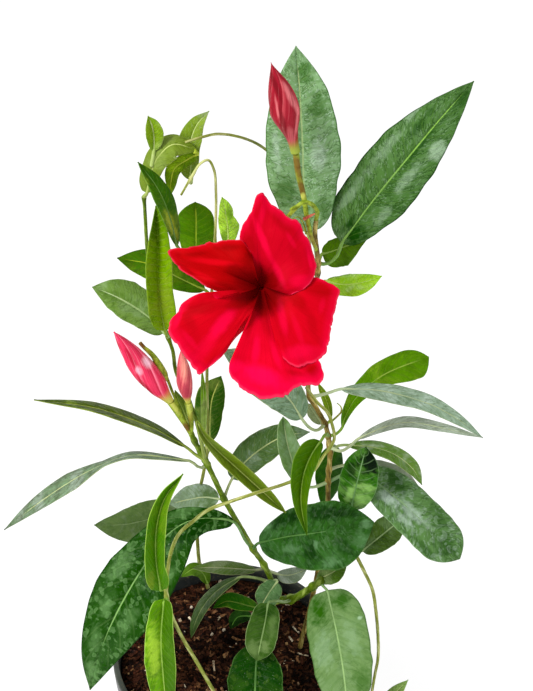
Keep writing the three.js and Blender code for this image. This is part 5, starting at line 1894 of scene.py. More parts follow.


# The pale spots of a petal are painted highlights on its lit folds, and the dark ones painted shade in its
# folds and under the petal above.
PETALS = (
    PetalPlan(
        "petal_top", -44, 50,
        ((246, 262), (240, 242), (241, 229), (248, 217), (252.5, 208), (256, 197), (262, 192),
            (266, 197), (271, 203), (278, 208), (285, 214), (290, 218.5), (297, 220), (301, 225),
            (304, 234), (309, 240), (312, 249), (314, 255), (316, 266), (313, 278), (307, 286),
            (299, 290.5), (290, 294), (284, 292.5)),
        shade(190, 0, 27), shade(216, 2, 50), shade(150, 0, 6),
        (Spot(283, 222, 24, 9, -0.6, 50), Spot(296, 256, 15, 7, -0.35, 70),
            Spot(250, 244, 14, 7, -0.7, 70), Spot(268, 282, 9, 14, -1.0, 60),
            Spot(262, 214, 16, 4, 0.5, 100), Spot(263, 240, 26, 4.5, 0.9, 68),
            Spot(279, 274, 18, 4.5, 0.9, 66), Spot(300, 281, 13, 8, 0.6, 0),
            Spot(310, 260, 14, 2.5, 0.8, 78), Spot(291, 240, 12, 3, 0.4, 60)),
    ),
    PetalPlan(
        "petal_right", 47, 122,
        ((286, 281), (300, 278), (317, 277.5), (327, 282), (336, 286), (339.5, 291), (337, 301),
            (335, 310), (332.5, 320), (330.5, 333), (328, 345), (324.5, 354), (317, 360.5),
            (308, 363), (299, 367), (290, 363), (283, 357), (276, 346)),
        shade(196, 0, 22), shade(219, 3, 50), shade(156, 0, 2),
        (Spot(318, 290, 20, 8, -0.6, 10), Spot(297, 300, 20, 8, -0.7, 50),
            Spot(312, 322, 16, 6, -0.4, 80), Spot(322, 306, 10, 4, 0.4, 100),
            Spot(282, 316, 24, 5, 0.8, 78), Spot(298, 330, 22, 4, 0.4, 70),
            Spot(300, 352, 20, 9, 0.9, -8), Spot(326, 345, 12, 3.5, 0.8, -70),
            Spot(272, 300, 10, 8, -0.9, 50)),
    ),
    PetalPlan(
        "petal_low", 119, 196,
        ((285, 325), (305, 348), (320, 362), (322.5, 370), (324, 377), (320, 383), (308, 384.5),
            (297, 386.5), (290, 391), (283, 396), (276, 397), (264, 398.5), (255, 395),
            (246, 391), (239, 384.5), (232, 377), (229, 370), (229.5, 363), (234, 354),
            (241, 345), (245, 332)),
        shade(211, 0, 34), shade(236, 3, 66), shade(166, 0, 4),
        (Spot(251, 322, 20, 4.5, -0.7, 105), Spot(314, 371, 11, 9, -1.0, 30),
            Spot(298, 374, 14, 4, -0.6, 16), Spot(266, 326, 18, 5, -0.4, 80),
            Spot(262, 376, 30, 12, 1.0, 20), Spot(236, 366, 8, 8, 0.5, 20),
            Spot(256, 350, 18, 5, 0.5, 96), Spot(276, 356, 18, 4, 0.4, 70),
            Spot(264, 308, 8, 14, -0.8, 0)),
    ),
    PetalPlan(
        "petal_left", 193, 266,
        ((252, 322), (241, 332), (234, 339), (225, 352), (216, 361), (206, 369), (200.5, 373),
            (193, 367), (185.5, 356), (177.5, 345), (170.5, 336), (168.5, 327), (171.5, 318),
            (177.5, 313), (179.5, 306.5), (186.5, 300), (195, 295), (204, 292.5), (211, 295),
            (217, 298.5), (221.5, 295.5), (231, 296)),
        shade(194, 0, 20), shade(226, 3, 54), shade(150, 0, 5),
        (Spot(203, 308, 28, 8, -0.6, -8), Spot(190, 322, 12, 7, -0.4, 60),
            Spot(222, 324, 24, 8, 1.0, -50), Spot(178, 318, 14, 4, 0.7, 110),
            Spot(206, 346, 20, 9, 0.4, -50), Spot(200, 364, 9, 4, -0.6, 30),
            Spot(190, 340, 14, 4, 0.4, 50), Spot(238, 304, 16, 7, -0.9, -14)),
    ),
    PetalPlan(
        "petal_upper_left", 263, 322,
        ((236, 293), (222, 291.5), (206, 286), (195, 278), (183, 271), (174, 261.5), (168, 252),
            (172, 248.5), (183, 248), (195, 246), (204, 244), (209, 241.5), (214.5, 243),
            (221, 240.5), (230, 240), (241, 240), (251, 252)),
        shade(172, 0, 4), shade(200, 1, 17), shade(126, 0, 0),
        (Spot(253, 258, 16, 12, -1.0, 60), Spot(228, 247, 18, 5, -0.5, 0),
            Spot(186, 270, 26, 3, -0.8, 38), Spot(174, 253, 9, 5, -0.6, 20),
            Spot(214, 262, 30, 4, 0.9, 6), Spot(206, 278, 22, 4, 0.6, 28),
            Spot(238, 272, 16, 8, -0.8, 20), Spot(196, 254, 14, 2.5, -0.4, -4),
            Spot(222, 284, 16, 3, -0.5, 14)),
    ),
)

# Painted shade in the hollow of the throat, laid over every petal.
THROAT_SHADE = (Spot(257, 288, 38, 30, -0.8, 40), Spot(260, 291, 30, 24, -1, 60))


@dataclass
class Flower:
    """The open flower: five ruffled petals round a deep throat, on a looped stalk with a calyx."""

    effects: Effects
    centre: tuple[float, float] = (261, 287)
    plane: float = -45
    throat_ring: float = 3.0
    throat_depth: float = 11.0
    twist: float = 2.0
    reflex: float = 3.0
    ruffle: float = 1.1
    petal_wall: float = 0.5
    funnel: tuple[tuple[float, float], ...] = (
        (44, 0), (43, 3.6), (42, 4.5), (27, 5.5), (18, 9), (12, 11.0), (8.4, 11.8), (8, 11.0),
        (9, 9.4), (10.5, 7.8), (12.5, 6.4), (14, 5.0), (15.6, 3.0), (16, 0),
    )
    stalk: tuple[Place, ...] = (
        (316, 220, -3), (317, 211, -5), (311, 204, -8), (304, 202, -10), (296, 208, -11),
        (289, 215, -11), (283, 222, -10), (272, 240, -6), (264, 262, -3), (261, 276, -3),
    )

    def spot(self, across: float, down: float, depth: float) -> Vector:
        """Returns a place of the front view at a depth behind the flower's face."""
        return VIEW.in_view(across, down, VIEW.depth_of(self.centre[1], self.plane) + depth)

    def build(self) -> None:
        """Builds and dresses the petals, the funnel, the stalk and the calyx."""
        for plan in PETALS:
            bm = bmesh.new()
            self._petal(bm, plan)
            finish_piece(plan.name, bm, [self.dress_petal(plan)], "flower_corolla")
        bm = bmesh.new()
        self._funnel(bm)
        finish_piece("flower_funnel", bm, [self.dress_funnel()], "flower_corolla")
        bm = bmesh.new()
        self._stalk(bm)
        finish_piece("flower_loop", bm, [young_bark("flower_loop_skin", self.effects)],
                     "flower_stalk")

    def _petal(self, bm: bmesh.types.BMesh, plan: PetalPlan) -> None:
        """Adds one petal, with pleats that fan out of the throat and a ruffled margin."""
        edge = SmoothPath(Vector((across, down, 0)) for across, down in plan.margin)
        seed = Vector((plan.start, plan.end, 3.0))

        def place(turn: float, along: float) -> Vector:
            """Returns a point of the petal's face."""
            out = along**1.35
            angle = math.radians(blend(plan.start, plan.end, turn))
            inner_x = self.centre[0] + self.throat_ring * math.sin(angle)
            inner_y = self.centre[1] - self.throat_ring * math.cos(angle)
            outer = edge.point(turn)
            nick = noise.noise(Vector((turn * 30, 0, 0)) + seed)
            nick += 0.7 * noise.noise(Vector((turn * 75, 4, 0)) + seed)
            nick = 1 + 0.02 * nick * out**5
            wave = self.ruffle * math.sin(6 * math.pi * turn + 1) * out**3
            fine = 0.8 * noise.noise(Vector((turn * 17, out * 2, 5)) + seed) * out**4
            pleat = 0.9 * math.sin(math.pi * 7 * turn + plan.start) * out * out * (1 - out) * 2
            soft = 1.1 * noise.noise(Vector((turn * 4, out * 3, 1)) + seed) * out
            depth = (
                self.throat_depth * (1 - out) ** 4 + self.reflex * out**3 + wave + fine + pleat
                + soft + self.twist * (1 - 2 * turn) * min(1.0, 3 * out)
            )
            reach = out * nick
            return self.spot(
                inner_x + (outer.x - inner_x) * reach, inner_y + (outer.y - inner_y) * reach, depth
            )

        faces = sheet(bm, 84, 52, place)
        made = bmesh.ops.solidify(bm, geom=faces, thickness=self.petal_wall)["geom"]
        for part in made:
            if isinstance(part, bmesh.types.BMFace):
                part.smooth = True

    def _funnel(self, bm: bmesh.types.BMesh) -> None:
        """Adds the funnel behind the petals and the throat inside it."""
        profile = SmoothPath(Vector((depth, reach, 0)) for depth, reach in self.funnel)

        def place(across: float, along: float) -> Vector:
            """Returns a point of the funnel's skin, which has five soft corners."""
            spot = profile.point(along)
            reach = 0.0 if along in (0.0, 1.0) else max(spot.y, 0.02)
            angle = math.tau * (across % 1.0)
            reach *= 1 + 0.03 * math.cos(5 * angle)
            return self.spot(
                self.centre[0] + reach * math.cos(angle),
                self.centre[1] + reach * math.sin(angle),
                spot.x,
            )

        sheet(bm, 60, 70, place, closed=True)

    def _stalk(self, bm: bmesh.types.BMesh) -> None:
        """Adds the looped stalk and the calyx with its five sepals."""
        end = 42.0
        seat = [self.spot(*self.centre, end + depth) for depth in (8, 5, 2, 0.4)]
        line = SmoothPath([VIEW.at(place) for place in self.stalk] + seat[:2])
        tube(bm, line, lambda share, angle: 1.0 + 0.08 * math.sin(share * 50 + angle), 12, 110)
        cup = SmoothPath(seat)
        tube(bm, cup, lambda share, angle: 1.15 + 1.25 * ease(0, 0.7, share), 20, 24)
        for k in range(5):
            angle = math.tau * k / 5

            def place(across: float, along: float, angle: float = angle) -> Vector:
                """Returns a point of a sepal that clasps the tube."""
                width = 0.52 * (1 - along**1.6)
                turn = angle + (across - 0.5) * 2 * width
                reach = 5.0 + 0.9 * along
                return self.spot(
                    self.centre[0] + reach * math.cos(turn),
                    self.centre[1] + reach * math.sin(turn),
                    end + 2 - 7.5 * along,
                )

            bmesh.ops.solidify(bm, geom=sheet(bm, 6, 10, place), thickness=0.4)

    def dress_petal(self, plan: PetalPlan) -> bpy.types.Material:
        """Makes a petal's velvet: painted shade in the throat and in folds, painted highlights on lit
        folds, and a rosy margin that is partly a painted highlight.

        Args:
            plan: The petal.

        Returns:
            The material.
        """
        skin = Skin(f"{plan.name}_velvet", self.effects)
        wiring = skin.wiring
        out = wiring.node("ShaderNodeSeparateXYZ", {0: skin.cover}).outputs[1]
        cloud = skin.patch(70.0, 0.35, 0.65)
        lines = skin.streak(38.0, 1.6)
        tone = skin.tint(plan.body, plan.dark, cloud, 0.25)
        away = wiring.sum("MULTIPLY", lines, wiring.step(out, 0.25, 0.6))
        tone = skin.tint(tone, plan.dark, wiring.step(away, 0.5, 0.7), 0.25)
        # Painted highlights and shade in spots.
        tone = skin.spots(tone, plan.spots, plan.highlight_and_rose, plan.dark, 0.0, 0.25)
        # A rosy margin: the petal's own paler edge, with a painted highlight along it.
        tone = skin.tint(tone, plan.highlight_and_rose, wiring.step(out, 0.88, 0.99), 0.6)
        tone = skin.tint(tone, shade(255, 70, 110), wiring.step(out, 0.975, 1.0), 0.4)
        # Painted shade in the throat.
        tone = skin.spots(tone, THROAT_SHADE, plan.highlight_and_rose, shade(118, 0, 2), 0.0, 0.2)
        height = wiring.sum("ADD", away, wiring.sum("MULTIPLY", skin.grain(1700.0), 0.25))
        rough = wiring.step(cloud, 0.0, 1.0, 0.55, 0.68)
        return skin.finish(tone, rough, height, 0.4, 0.0005, Specular_IOR_Level=0.02)

    def dress_funnel(self) -> bpy.types.Material:
        """Makes the funnel's skin, dark inside the throat and rosy green towards the stalk.

        Returns:
            The material.
        """
        skin = Skin("flower_funnel_velvet", self.effects)
        wiring = skin.wiring
        along = wiring.node("ShaderNodeSeparateXYZ", {0: skin.cover}).outputs[1]
        lines = skin.streak(34.0, 3.0)
        tone = skin.tint(shade(168, 120, 66), shade(196, 8, 32), wiring.step(along, 0.05, 0.4))
        tone = skin.tint(tone, shade(200, 0, 3), wiring.step(along, 0.42, 0.56))
        tone = skin.tint(tone, shade(150, 0, 3), wiring.step(lines, 0.4, 0.65), 0.3)
        rough = wiring.step(lines, 0.3, 0.7, 0.55, 0.7)
        return skin.finish(tone, rough, lines, 0.5, 0.0005, Specular_IOR_Level=0.02)


def young_bark(
    name: str, effects: Effects, spots: tuple[Spot, ...] = ()
) -> bpy.types.Material:
    """Makes the smooth yellow-green skin of young stalks, flushed brown in places.

    Args:
        name: The material's name.
        effects: The shared effects.
        spots: Where it is brown, and where yellow.

    Returns:
        The material.
    """
    skin = Skin(name, effects)
    fine = skin.patch(420.0, 0.4, 0.65)
    tone = skin.tint(shade(160, 182, 52), shade(112, 134, 16), fine)
    tone = skin.tint(tone, shade(140, 96, 40), skin.patch(70.0, 0.52, 0.68), 0.5)
    tone = skin.spots(tone, spots, shade(206, 212, 96), shade(112, 58, 16), 0.0, 0.4)
    rough = skin.wiring.step(fine, 0.0, 1.0, 0.4, 0.52)
    return skin.finish(tone, rough, skin.grain(1200.0), 0.35, 0.0003, Specular_IOR_Level=0.25)


@dataclass(frozen=True)
class BudPlan:
    """A closed bud: its route from base to tip, its widest radius, its colours, of which light is a
    painted highlight, and its spots of painted highlight and shade.
    """

    name: str
    path: tuple[Place, ...]
    radius: float
    body: Paint
    light: Paint
    dark: Paint
    base: Paint
    spots: tuple[Spot, ...]
    rise: float = 1.2
    widest_at: float = 0.42
    point: float = 0.85


BUDS = (
    BudPlan(
        "bud_top", ((295.5, 152, -6), (287, 118, -8), (278, 85, -9), (271, 62.5, -10)), 6.3,
        shade(160, 14, 38), shade(224, 118, 122), shade(116, 2, 18), shade(152, 168, 62),
        (Spot(275, 84, 26, 3.5, -0.9, 70), Spot(283, 122, 22, 3, -0.8, 76),
            Spot(291, 98, 22, 4, 0.9, 62), Spot(297, 122, 18, 2, 0.6, 95),
            Spot(277, 108, 16, 1.6, 0.7, 80), Spot(291, 136, 12, 5, 0.5, 80)),
        3.2, 0.5, 1.15,
    ),
    BudPlan(
        "bud_left", ((170, 401, -11), (150, 377, -13), (130, 352, -15), (114, 332, -17)), 5.9,
        shade(244, 52, 96), shade(255, 196, 214), shade(190, 10, 52), shade(206, 204, 92),
        (Spot(131, 358, 16, 3.5, -0.9, 60), Spot(147, 389, 22, 2.5, -1, 50),
            Spot(118, 344, 10, 2, -0.8, 60), Spot(147, 362, 8, 6, 1, 46),
            Spot(139, 371, 6, 4, 0.7, 60)),
    ),
    BudPlan(
        "bud_small", ((188, 402, -8), (185, 384, -9), (183, 366, -9), (181, 350, -9)), 3.9,
        shade(216, 86, 98), shade(252, 164, 144), shade(178, 46, 70), shade(206, 204, 84),
        (Spot(184, 368, 16, 5, 0.8, 88), Spot(187, 392, 10, 6, -0.8, 80),
            Spot(180, 384, 14, 2, -0.6, 80)),
    ),
)

BUD_STALKS = {
    "bud_top_stalk": (
        (((317, 251, -1), (311, 236, -6), (307, 218, -5), (304, 198, -4), (298, 172, -5),
            (295.8, 153, -6)), 1.5),
    ),
    "bud_pair_stalk": (
        (((191, 434, -8), (182, 419, -9), (170.6, 401.8, -11)), 2.0),
        (((191, 434, -8), (191, 420, -7), (188.2, 403, -8)), 2.0),
        (((187, 426, -8), (174, 396, -3), (162, 368, -3), (140, 343, -4)), 1.0),
    ),
}

STALK_SPOTS = {
    "bud_top_stalk": (
        Spot(297, 166, 18, 6, -0.8, 75), Spot(302, 188, 12, 6, -0.8, 75),
        Spot(307, 228, 14, 3, -0.5, 80), Spot(303, 196, 3, 4, 0.9, 0),
    ),
    "bud_pair_stalk": (
        Spot(186, 427, 6, 2.5, -0.8, 55), Spot(142, 345, 6, 4, -0.9, 45),
        Spot(174, 407, 12, 3, 0.9, 55), Spot(189, 408, 10, 3, 0.7, 80),
    ),
}


@dataclass
class Buds:
    """The closed buds, whose rolled petals wind round them, and the stalks that carry them."""

    effects: Effects
    neck: float = 0.34
    rolls: int = 5
    turn: float = 2.4
    relief: float = 0.1
    bract: tuple[Place, ...] = ((166, 380, -9), (159, 365, -9), (150, 352, -9), (140, 344, -8))

    def build(self) -> None:
        """Builds and dresses each bud and each stalk."""
        for plan in BUDS:
            bm = bmesh.new()
            tube(bm, SmoothPath(VIEW.at(p) for p in plan.path), self._radius(plan), 60, 96)
            finish_piece(f"{plan.name}_rolled", bm, [self.dress(plan)], plan.name)
        for name, branches in BUD_STALKS.items():
            bm = bmesh.new()
            for path, radius in branches:
                line = SmoothPath(VIEW.at(p) for p in path)

                def reach(share: float, angle: float, radius: float = radius) -> float:
                    """Returns the radius of a stalk, which widens to the bud."""
                    return radius * (0.6 + 0.4 * share) * (1 + 0.03 * math.sin(9 * share + angle))

                tube(bm, line, reach, 12, 48)
            if name == "bud_pair_stalk":
                self._bract(bm)
            skins = [young_bark(f"{name}_skin", self.effects, STALK_SPOTS[name])]
            finish_piece(f"{name}_green", bm, skins, name)

    def _bract(self, bm: bmesh.types.BMesh) -> None:
        """Adds the pointed green bract that lies along the shoulder of the left bud."""
        line = SmoothPath(VIEW.at(place) for place in self.bract)
        tube(bm, line, lambda share, _angle: 2.3 * (1 - share) ** 0.7 * ease(-0.2, 0.2, share) + 0.2,
             12, 40)

    def _radius(self, plan: BudPlan) -> Callable[[float, float], float]:
        """Gives a bud's radius: a spindle with the steps of its rolled petals.

        Args:
            plan: The bud.

        Returns:
            The radius for a share of the length and an angle.
        """

        def radius(share: float, angle: float) -> float:
            """Returns the radius."""
            if share < plan.widest_at:
                rise = math.sin(math.pi / 2 * share / plan.widest_at) ** plan.rise
                swell = self.neck + (1 - self.neck) * rise
            else:
                fall = math.cos(math.pi / 2 * (share - plan.widest_at) / (1 - plan.widest_at))
                swell = max(fall, 0.04) ** plan.point
            roll = (angle / math.tau * self.rolls - self.turn * self.rolls / math.tau * share) % 1.0
            step = (1 - roll) * ease(0.0, 0.14, roll) - 0.35
            fade = ease(0.02, 0.2, share)
            return plan.radius * swell * (1 + self.relief * 1.1 * step * fade)

        return radius

    def dress(self, plan: BudPlan) -> bpy.types.Material:
        """Makes a bud's skin: satin rolls with painted shade where each sinks under the next and a painted
        highlight along their backs, painted highlights and shade in spots, and yellow-green at the neck.

        Args:
            plan: The bud.

        Returns:
            The material.
        """
        skin = Skin(f"{plan.name}_satin", self.effects)
        wiring = skin.wiring
        split = wiring.node("ShaderNodeSeparateXYZ", {0: skin.cover})
        across, along = split.outputs[0], split.outputs[1]
        wound = wiring.sum("SUBTRACT", wiring.sum("MULTIPLY", across, float(self.rolls)),
                           wiring.sum("MULTIPLY", along, self.turn * self.rolls / math.tau))
        roll = wiring.sum("FRACT", wound)
        joined = wiring.node("ShaderNodeCombineXYZ", {0: wound, 1: along}).outputs[0]
        lines = skin.streak(9.0, 2.5, joined)
        # Painted shade where each roll sinks under the next, and a painted highlight along its back.
        tone = skin.tint(plan.body, plan.dark, wiring.step(roll, 0.74, 1.0), 0.6)
        tone = skin.tint(tone, plan.light, wiring.step(roll, 0.06, 0.3, 1.0, 0.0), 0.2)
        # Painted highlights and shade in spots.
        tone = skin.spots(tone, plan.spots, plan.light, plan.dark, 0.0, 0.4)
        tone = skin.tint(tone, plan.dark, wiring.step(lines, 0.5, 0.66), 0.5)
        tone = skin.tint(tone, plan.light, wiring.step(lines, 0.3, 0.42, 1.0, 0.0), 0.25)
        tone = skin.tint(tone, plan.base, wiring.step(along, 0.04, 0.2, 1.0, 0.0))
        rough = wiring.step(lines, 0.3, 0.7, 0.36, 0.5)
        return skin.finish(tone, rough, lines, 0.5, 0.0004, Specular_IOR_Level=0.15)


@dataclass
class Tendrils:
    """The thin green hooks and bracts that stand off the stems by the flower."""

    effects: Effects
    hooks: tuple[tuple[tuple[Place, ...], float], ...] = (
        (((332, 421, -1), (337, 416.5, -1), (341, 412, -1), (341, 407, -1), (337, 403, -1)), 0.55),
        (((306, 234, -4), (303, 223, -5), (298, 217, -7), (292, 219, -8)), 0.5),
        (((291, 210, -11), (296, 206.5, -12), (301, 204, -12)), 0.9),
    )
    flushed: tuple[tuple[Place, ...], float] = (
        ((304, 219, -6), (309, 216.5, -7), (315, 213.5, -7)), 0.85
    )

    def build(self) -> None:
        """Builds and dresses the hooks and the flushed bract."""
        bm = bmesh.new()
        for path, radius in self.hooks:
            self._hook(bm, path, radius)
        skins = [young_bark("tendril_skin", self.effects)]
        finish_piece("tendril_hooks", bm, skins, None)
        bm = bmesh.new()
        self._hook(bm, *self.flushed)
        skin = Skin("bract_skin", self.effects)
        cloud = skin.patch(500.0, 0.4, 0.65)
        tone = skin.tint(shade(212, 108, 78), shade(170, 66, 40), cloud)
        rough = skin.wiring.step(cloud, 0.0, 1.0, 0.45, 0.6)
        skins = [skin.finish(tone, rough, skin.grain(1200.0), 0.4, 0.0003)]
        finish_piece("flower_bract", bm, skins, None)

    def _hook(self, bm: bmesh.types.BMesh, path: Sequence[Place], radius: float) -> None:
        """Adds one hook, which thins towards its end."""
        line = SmoothPath(VIEW.at(place) for place in path)
        tube(bm, line, lambda share, _angle: radius * (1 - 0.6 * share**2), 10, 30)


@dataclass
class Pot:
    """The nursery pot: a flared wall with a stepped rim band, and drain holes in its floor."""

    effects: Effects
    height: float = 118.0
    rim: float = 70.0
    base: float = 50.0
    wall: float = 2.0
    floor: float = 2.5
    band: float = 14.0
    step: float = 2.2
    holes: int = 6
    hole_radius: float = 5.0
    hole_circle: float = 36.0

    def build(self) -> None:
        """Builds and dresses the pot."""
        foot, neck = self.height - self.band, self.rim - self.step
        profile = (
            (self.hole_circle + 8, 0), (self.base - 1.2, 0), (self.base - 0.3, 0.35),
            (self.base, 1.2), (blend(self.base, neck, 0.1), blend(0, foot, 0.1)),
            (blend(self.base, neck, 0.5), blend(0, foot, 0.5)), (neck - 0.1, foot - 1.2),
            (neck + 0.3, foot - 0.3), (self.rim - 1.0, foot + 0.2), (self.rim - 0.5, foot + 0.9),
            (self.rim - 0.05, self.height - 2.6), (self.rim - 0.2, self.height - 0.9),
            (self.rim - 0.9, self.height - 0.1), (self.rim - 1.6, self.height),
            (neck - self.wall + 1.2, self.height - 0.1), (neck - self.wall + 0.7, self.height - 0.8),
            (neck - self.wall, foot), (blend(self.base, neck, 0.5) - self.wall, blend(0, foot, 0.5)),
            (self.base - self.wall, self.floor), (self.hole_circle + 8, self.floor),
        )
        bm = bmesh.new()
        verts = [bm.verts.new((radius, 0, z)) for radius, z in profile]
        edges = [bm.edges.new(pair) for pair in zip(verts, verts[1:])]
        bmesh.ops.spin(
            bm, geom=verts + edges, cent=(0, 0, 0), axis=(0, 0, 1), angle=math.tau, steps=144,
            use_merge=True,
        )
        for z in (0.0, self.floor):
            self._floor_face(bm, z)
        bmesh.ops.remove_doubles(bm, verts=bm.verts[:], dist=0.01)
        bmesh.ops.recalc_face_normals(bm, faces=bm.faces[:])
        for face in bm.faces:
            face.smooth = abs(face.normal.z) < 0.9
        finish_piece("pot_moulded", bm, [self.dress()], "pot")

    def _floor_face(self, bm: bmesh.types.BMesh, z: float) -> None:
        """Adds one face of the floor with its drain holes cut out, and their walls from below.

        Args:
            bm: The mesh that takes it.
            z: The height of the face.
        """
        rings = []
        outer = self.hole_circle + 8
        ring = bmesh.ops.create_circle(
            bm, segments=144, radius=outer, matrix=Matrix.Translation((0, 0, z))
        )["verts"]
        rings += list({edge for vert in ring for edge in vert.link_edges})
        for k in range(self.holes):
            angle = math.tau * (k + 0.5) / self.holes
            spot = (self.hole_circle * math.cos(angle), self.hole_circle * math.sin(angle), z)
            hole = bmesh.ops.create_circle(
                bm, segments=24, radius=self.hole_radius, matrix=Matrix.Translation(spot)
            )["verts"]
            edges = list({edge for vert in hole for edge in vert.link_edges})
            rings += edges
            if z == 0.0:
                wall = bmesh.ops.extrude_edge_only(bm, edges=edges)["geom"]
                raised = [part for part in wall if isinstance(part, bmesh.types.BMVert)]
                bmesh.ops.translate(bm, vec=(0, 0, self.floor), verts=raised)
        bmesh.ops.triangle_fill(bm, use_beauty=True, use_dissolve=False, edges=rings)

    def dress(self) -> bpy.types.Material:
        """Makes the moulded plastic: charcoal, finely grained, dusty and scuffed along its rim; its dusty
        patches also stand in for painted reflections, and its paler rim top is partly dusty and partly a
        painted highlight.

        Returns:
            The material.
        """
        skin = Skin("pot_charcoal", self.effects)
        wiring = skin.wiring
        height = wiring.node("ShaderNodeSeparateXYZ", {0: skin.place}).outputs[2]
        # Dusty patches, whose grey also stands in for painted reflections.
        dust_and_reflection = skin.patch(55.0, 0.42, 0.72)
        tone = skin.tint(shade(36, 40, 41), shade(66, 71, 68), dust_and_reflection, 0.4)
        # A paler top of the rim, partly dusty and partly a painted highlight.
        tone = skin.tint(tone, shade(84, 90, 78), wiring.step(height, 0.112, 0.1178), 0.5)
        tone = skin.tint(tone, shade(120, 106, 80), skin.patch(620.0, 0.6, 0.68), 0.5)
        scuffs = skin.streak(2.0, 260.0, skin.place)
        tone = skin.tint(tone, shade(88, 92, 92), wiring.step(scuffs, 0.62, 0.72), 0.3)
        rough = wiring.step(dust_and_reflection, 0.0, 1.0, 0.36, 0.6)
        return skin.finish(tone, rough, skin.grain(1500.0), 0.3, 0.0003, Specular_IOR_Level=0.35)


@dataclass
class Soil:
    """The soil: a crumbly body of coir, with chips of bark and pale grains on its top."""

    effects: Effects
    floor: float = 2.8
    bottom: float = 47.4
    top: float = 65.1
    level: float = 107.0
    mound: float = 3.0
    crumb: float = 1.1
    chips: int = 1700
    grains: int = 60

    def height(self, x: float, y: float) -> float:
        """Returns how high the top of the soil lies at a place."""
        share = min(math.hypot(x, y) / self.top, 1.0)
        wave = math.sin(x * 0.41 + 1.3) * math.cos(y * 0.37) + math.sin(x * 0.17 - y * 0.29)
        rough = noise.noise(Vector((x, y, 0)) * 0.4) * 0.9 + noise.noise(Vector((x, y, 9)) * 1.1) * 0.5
        rise = self.mound * (1 - share**2) + self.crumb * wave * (1 - share**4)
        return self.level + rise + rough * (1 - share**8)

    def build(self) -> None:
        """Builds and dresses the body of the soil, its chips and its pale grains."""
        bm = bmesh.new()
        self._body(bm)
        finish_piece("soil_body", bm, [self.dress_body()], "soil")
        bm = bmesh.new()
        self._chips(bm)
        finish_piece("soil_chips", bm, [self.dress_chips()], "soil")
        bm = bmesh.new()
        self._grains(bm)
        finish_piece("soil_grains", bm, [self.dress_grains()], "soil")

    def _body(self, bm: bmesh.types.BMesh) -> None:
        """Adds the body: a lathe whose top is crumbly."""
        rings, walls = 64, 8
        rows = rings + walls + 2

        def place(across: float, along: float) -> Vector:
            """Returns a point of the body's skin, from the middle of the top to that of the floor."""
            row, angle = round(along * rows), math.tau * (across % 1.0)
            if row <= rings:
                reach = self.top * row / rings
                x, y = reach * math.cos(angle), reach * math.sin(angle)
                return Vector((x, y, self.height(x, y)))
            if row == rows:
                return Vector((0, 0, self.floor))
            share = min((row - rings) / walls, 1.0)
            reach = blend(self.top, self.bottom, share)
            z = blend(self.level, self.floor, share)
            return Vector((reach * math.cos(angle), reach * math.sin(angle), z))

        sheet(bm, 180, rows, place, closed=True)

    def _chips(self, bm: bmesh.types.BMesh) -> None:
        """Adds chips of bark and coir, each with its own tint."""
        dice = random.Random(11)
        tint = bm.verts.layers.float.new("tint")
        for _ in range(self.chips):
            reach = self.top * 0.985 * math.sqrt(dice.random())
            angle = dice.uniform(0, math.tau)
            x, y = reach * math.cos(angle), reach * math.sin(angle)
            long = dice.uniform(1.2, 4.6) if dice.random() < 0.7 else dice.uniform(4.5, 8.5)
            size = Vector((long, dice.uniform(0.7, 2.0), dice.uniform(0.4, 1.3)))
            lean = Matrix.Rotation(dice.uniform(0, math.tau), 4, "Z")
            lean @= Matrix.Rotation(dice.gauss(0, 0.32), 4, "Y")
            lean @= Matrix.Rotation(dice.gauss(0, 0.5), 4, "X")
            spot = Matrix.Translation((x, y, self.height(x, y) + 0.15))
            box = bmesh.ops.create_cube(
                bm, size=1.0, matrix=spot @ lean @ Matrix.Diagonal((*size, 1.0))
            )["verts"]
            value = dice.random()
            for vert in box:
                vert[tint] = value
                vert.co += Vector((dice.gauss(0, 0.2), dice.gauss(0, 0.2), dice.gauss(0, 0.14)))
                limit = self.top + 0.1
                flat = math.hypot(vert.co.x, vert.co.y)
                if flat > limit:
                    vert.co.x, vert.co.y = vert.co.x * limit / flat, vert.co.y * limit / flat

    def _grains(self, bm: bmesh.types.BMesh) -> None:
        """Adds pale mineral grains that lie among the chips."""
        dice = random.Random(5)
        tint = bm.verts.layers.float.new("tint")
        for _ in range(self.grains):
            reach = self.top * 0.95 * math.sqrt(dice.random())
            angle = dice.uniform(0, math.tau)
            x, y = reach * math.cos(angle), reach * math.sin(angle)
            size = dice.uniform(0.5, 1.3)
            spot = Matrix.Translation((x, y, self.height(x, y) + size * 0.7))
            ball = bmesh.ops.create_icosphere(bm, subdivisions=2, radius=size, matrix=spot)["verts"]
            value = dice.random()
            for vert in ball:
                vert[tint] = value
                vert.co += Vector(noise.noise_vector(vert.co * 0.9)) * size * 0.45
            for face in {face for vert in ball for face in vert.link_faces}:
                face.smooth = True

    def dress_body(self) -> bpy.types.Material:
        """Makes the damp coir of the body.

        Returns:
            The material.
        """
        skin = Skin("soil_coir", self.effects)
        cloud = skin.patch(120.0, 0.4, 0.65)
        tone = skin.tint(shade(50, 25, 13), shade(92, 56, 34), cloud)
        tone = skin.tint(tone, shade(20, 6, 1), skin.patch(560.0, 0.42, 0.6))
        rough = skin.wiring.step(cloud, 0.0, 1.0, 0.7, 0.95)
        return skin.finish(tone, rough, skin.grain(420.0), 0.9, 0.0012, Specular_IOR_Level=0.1)

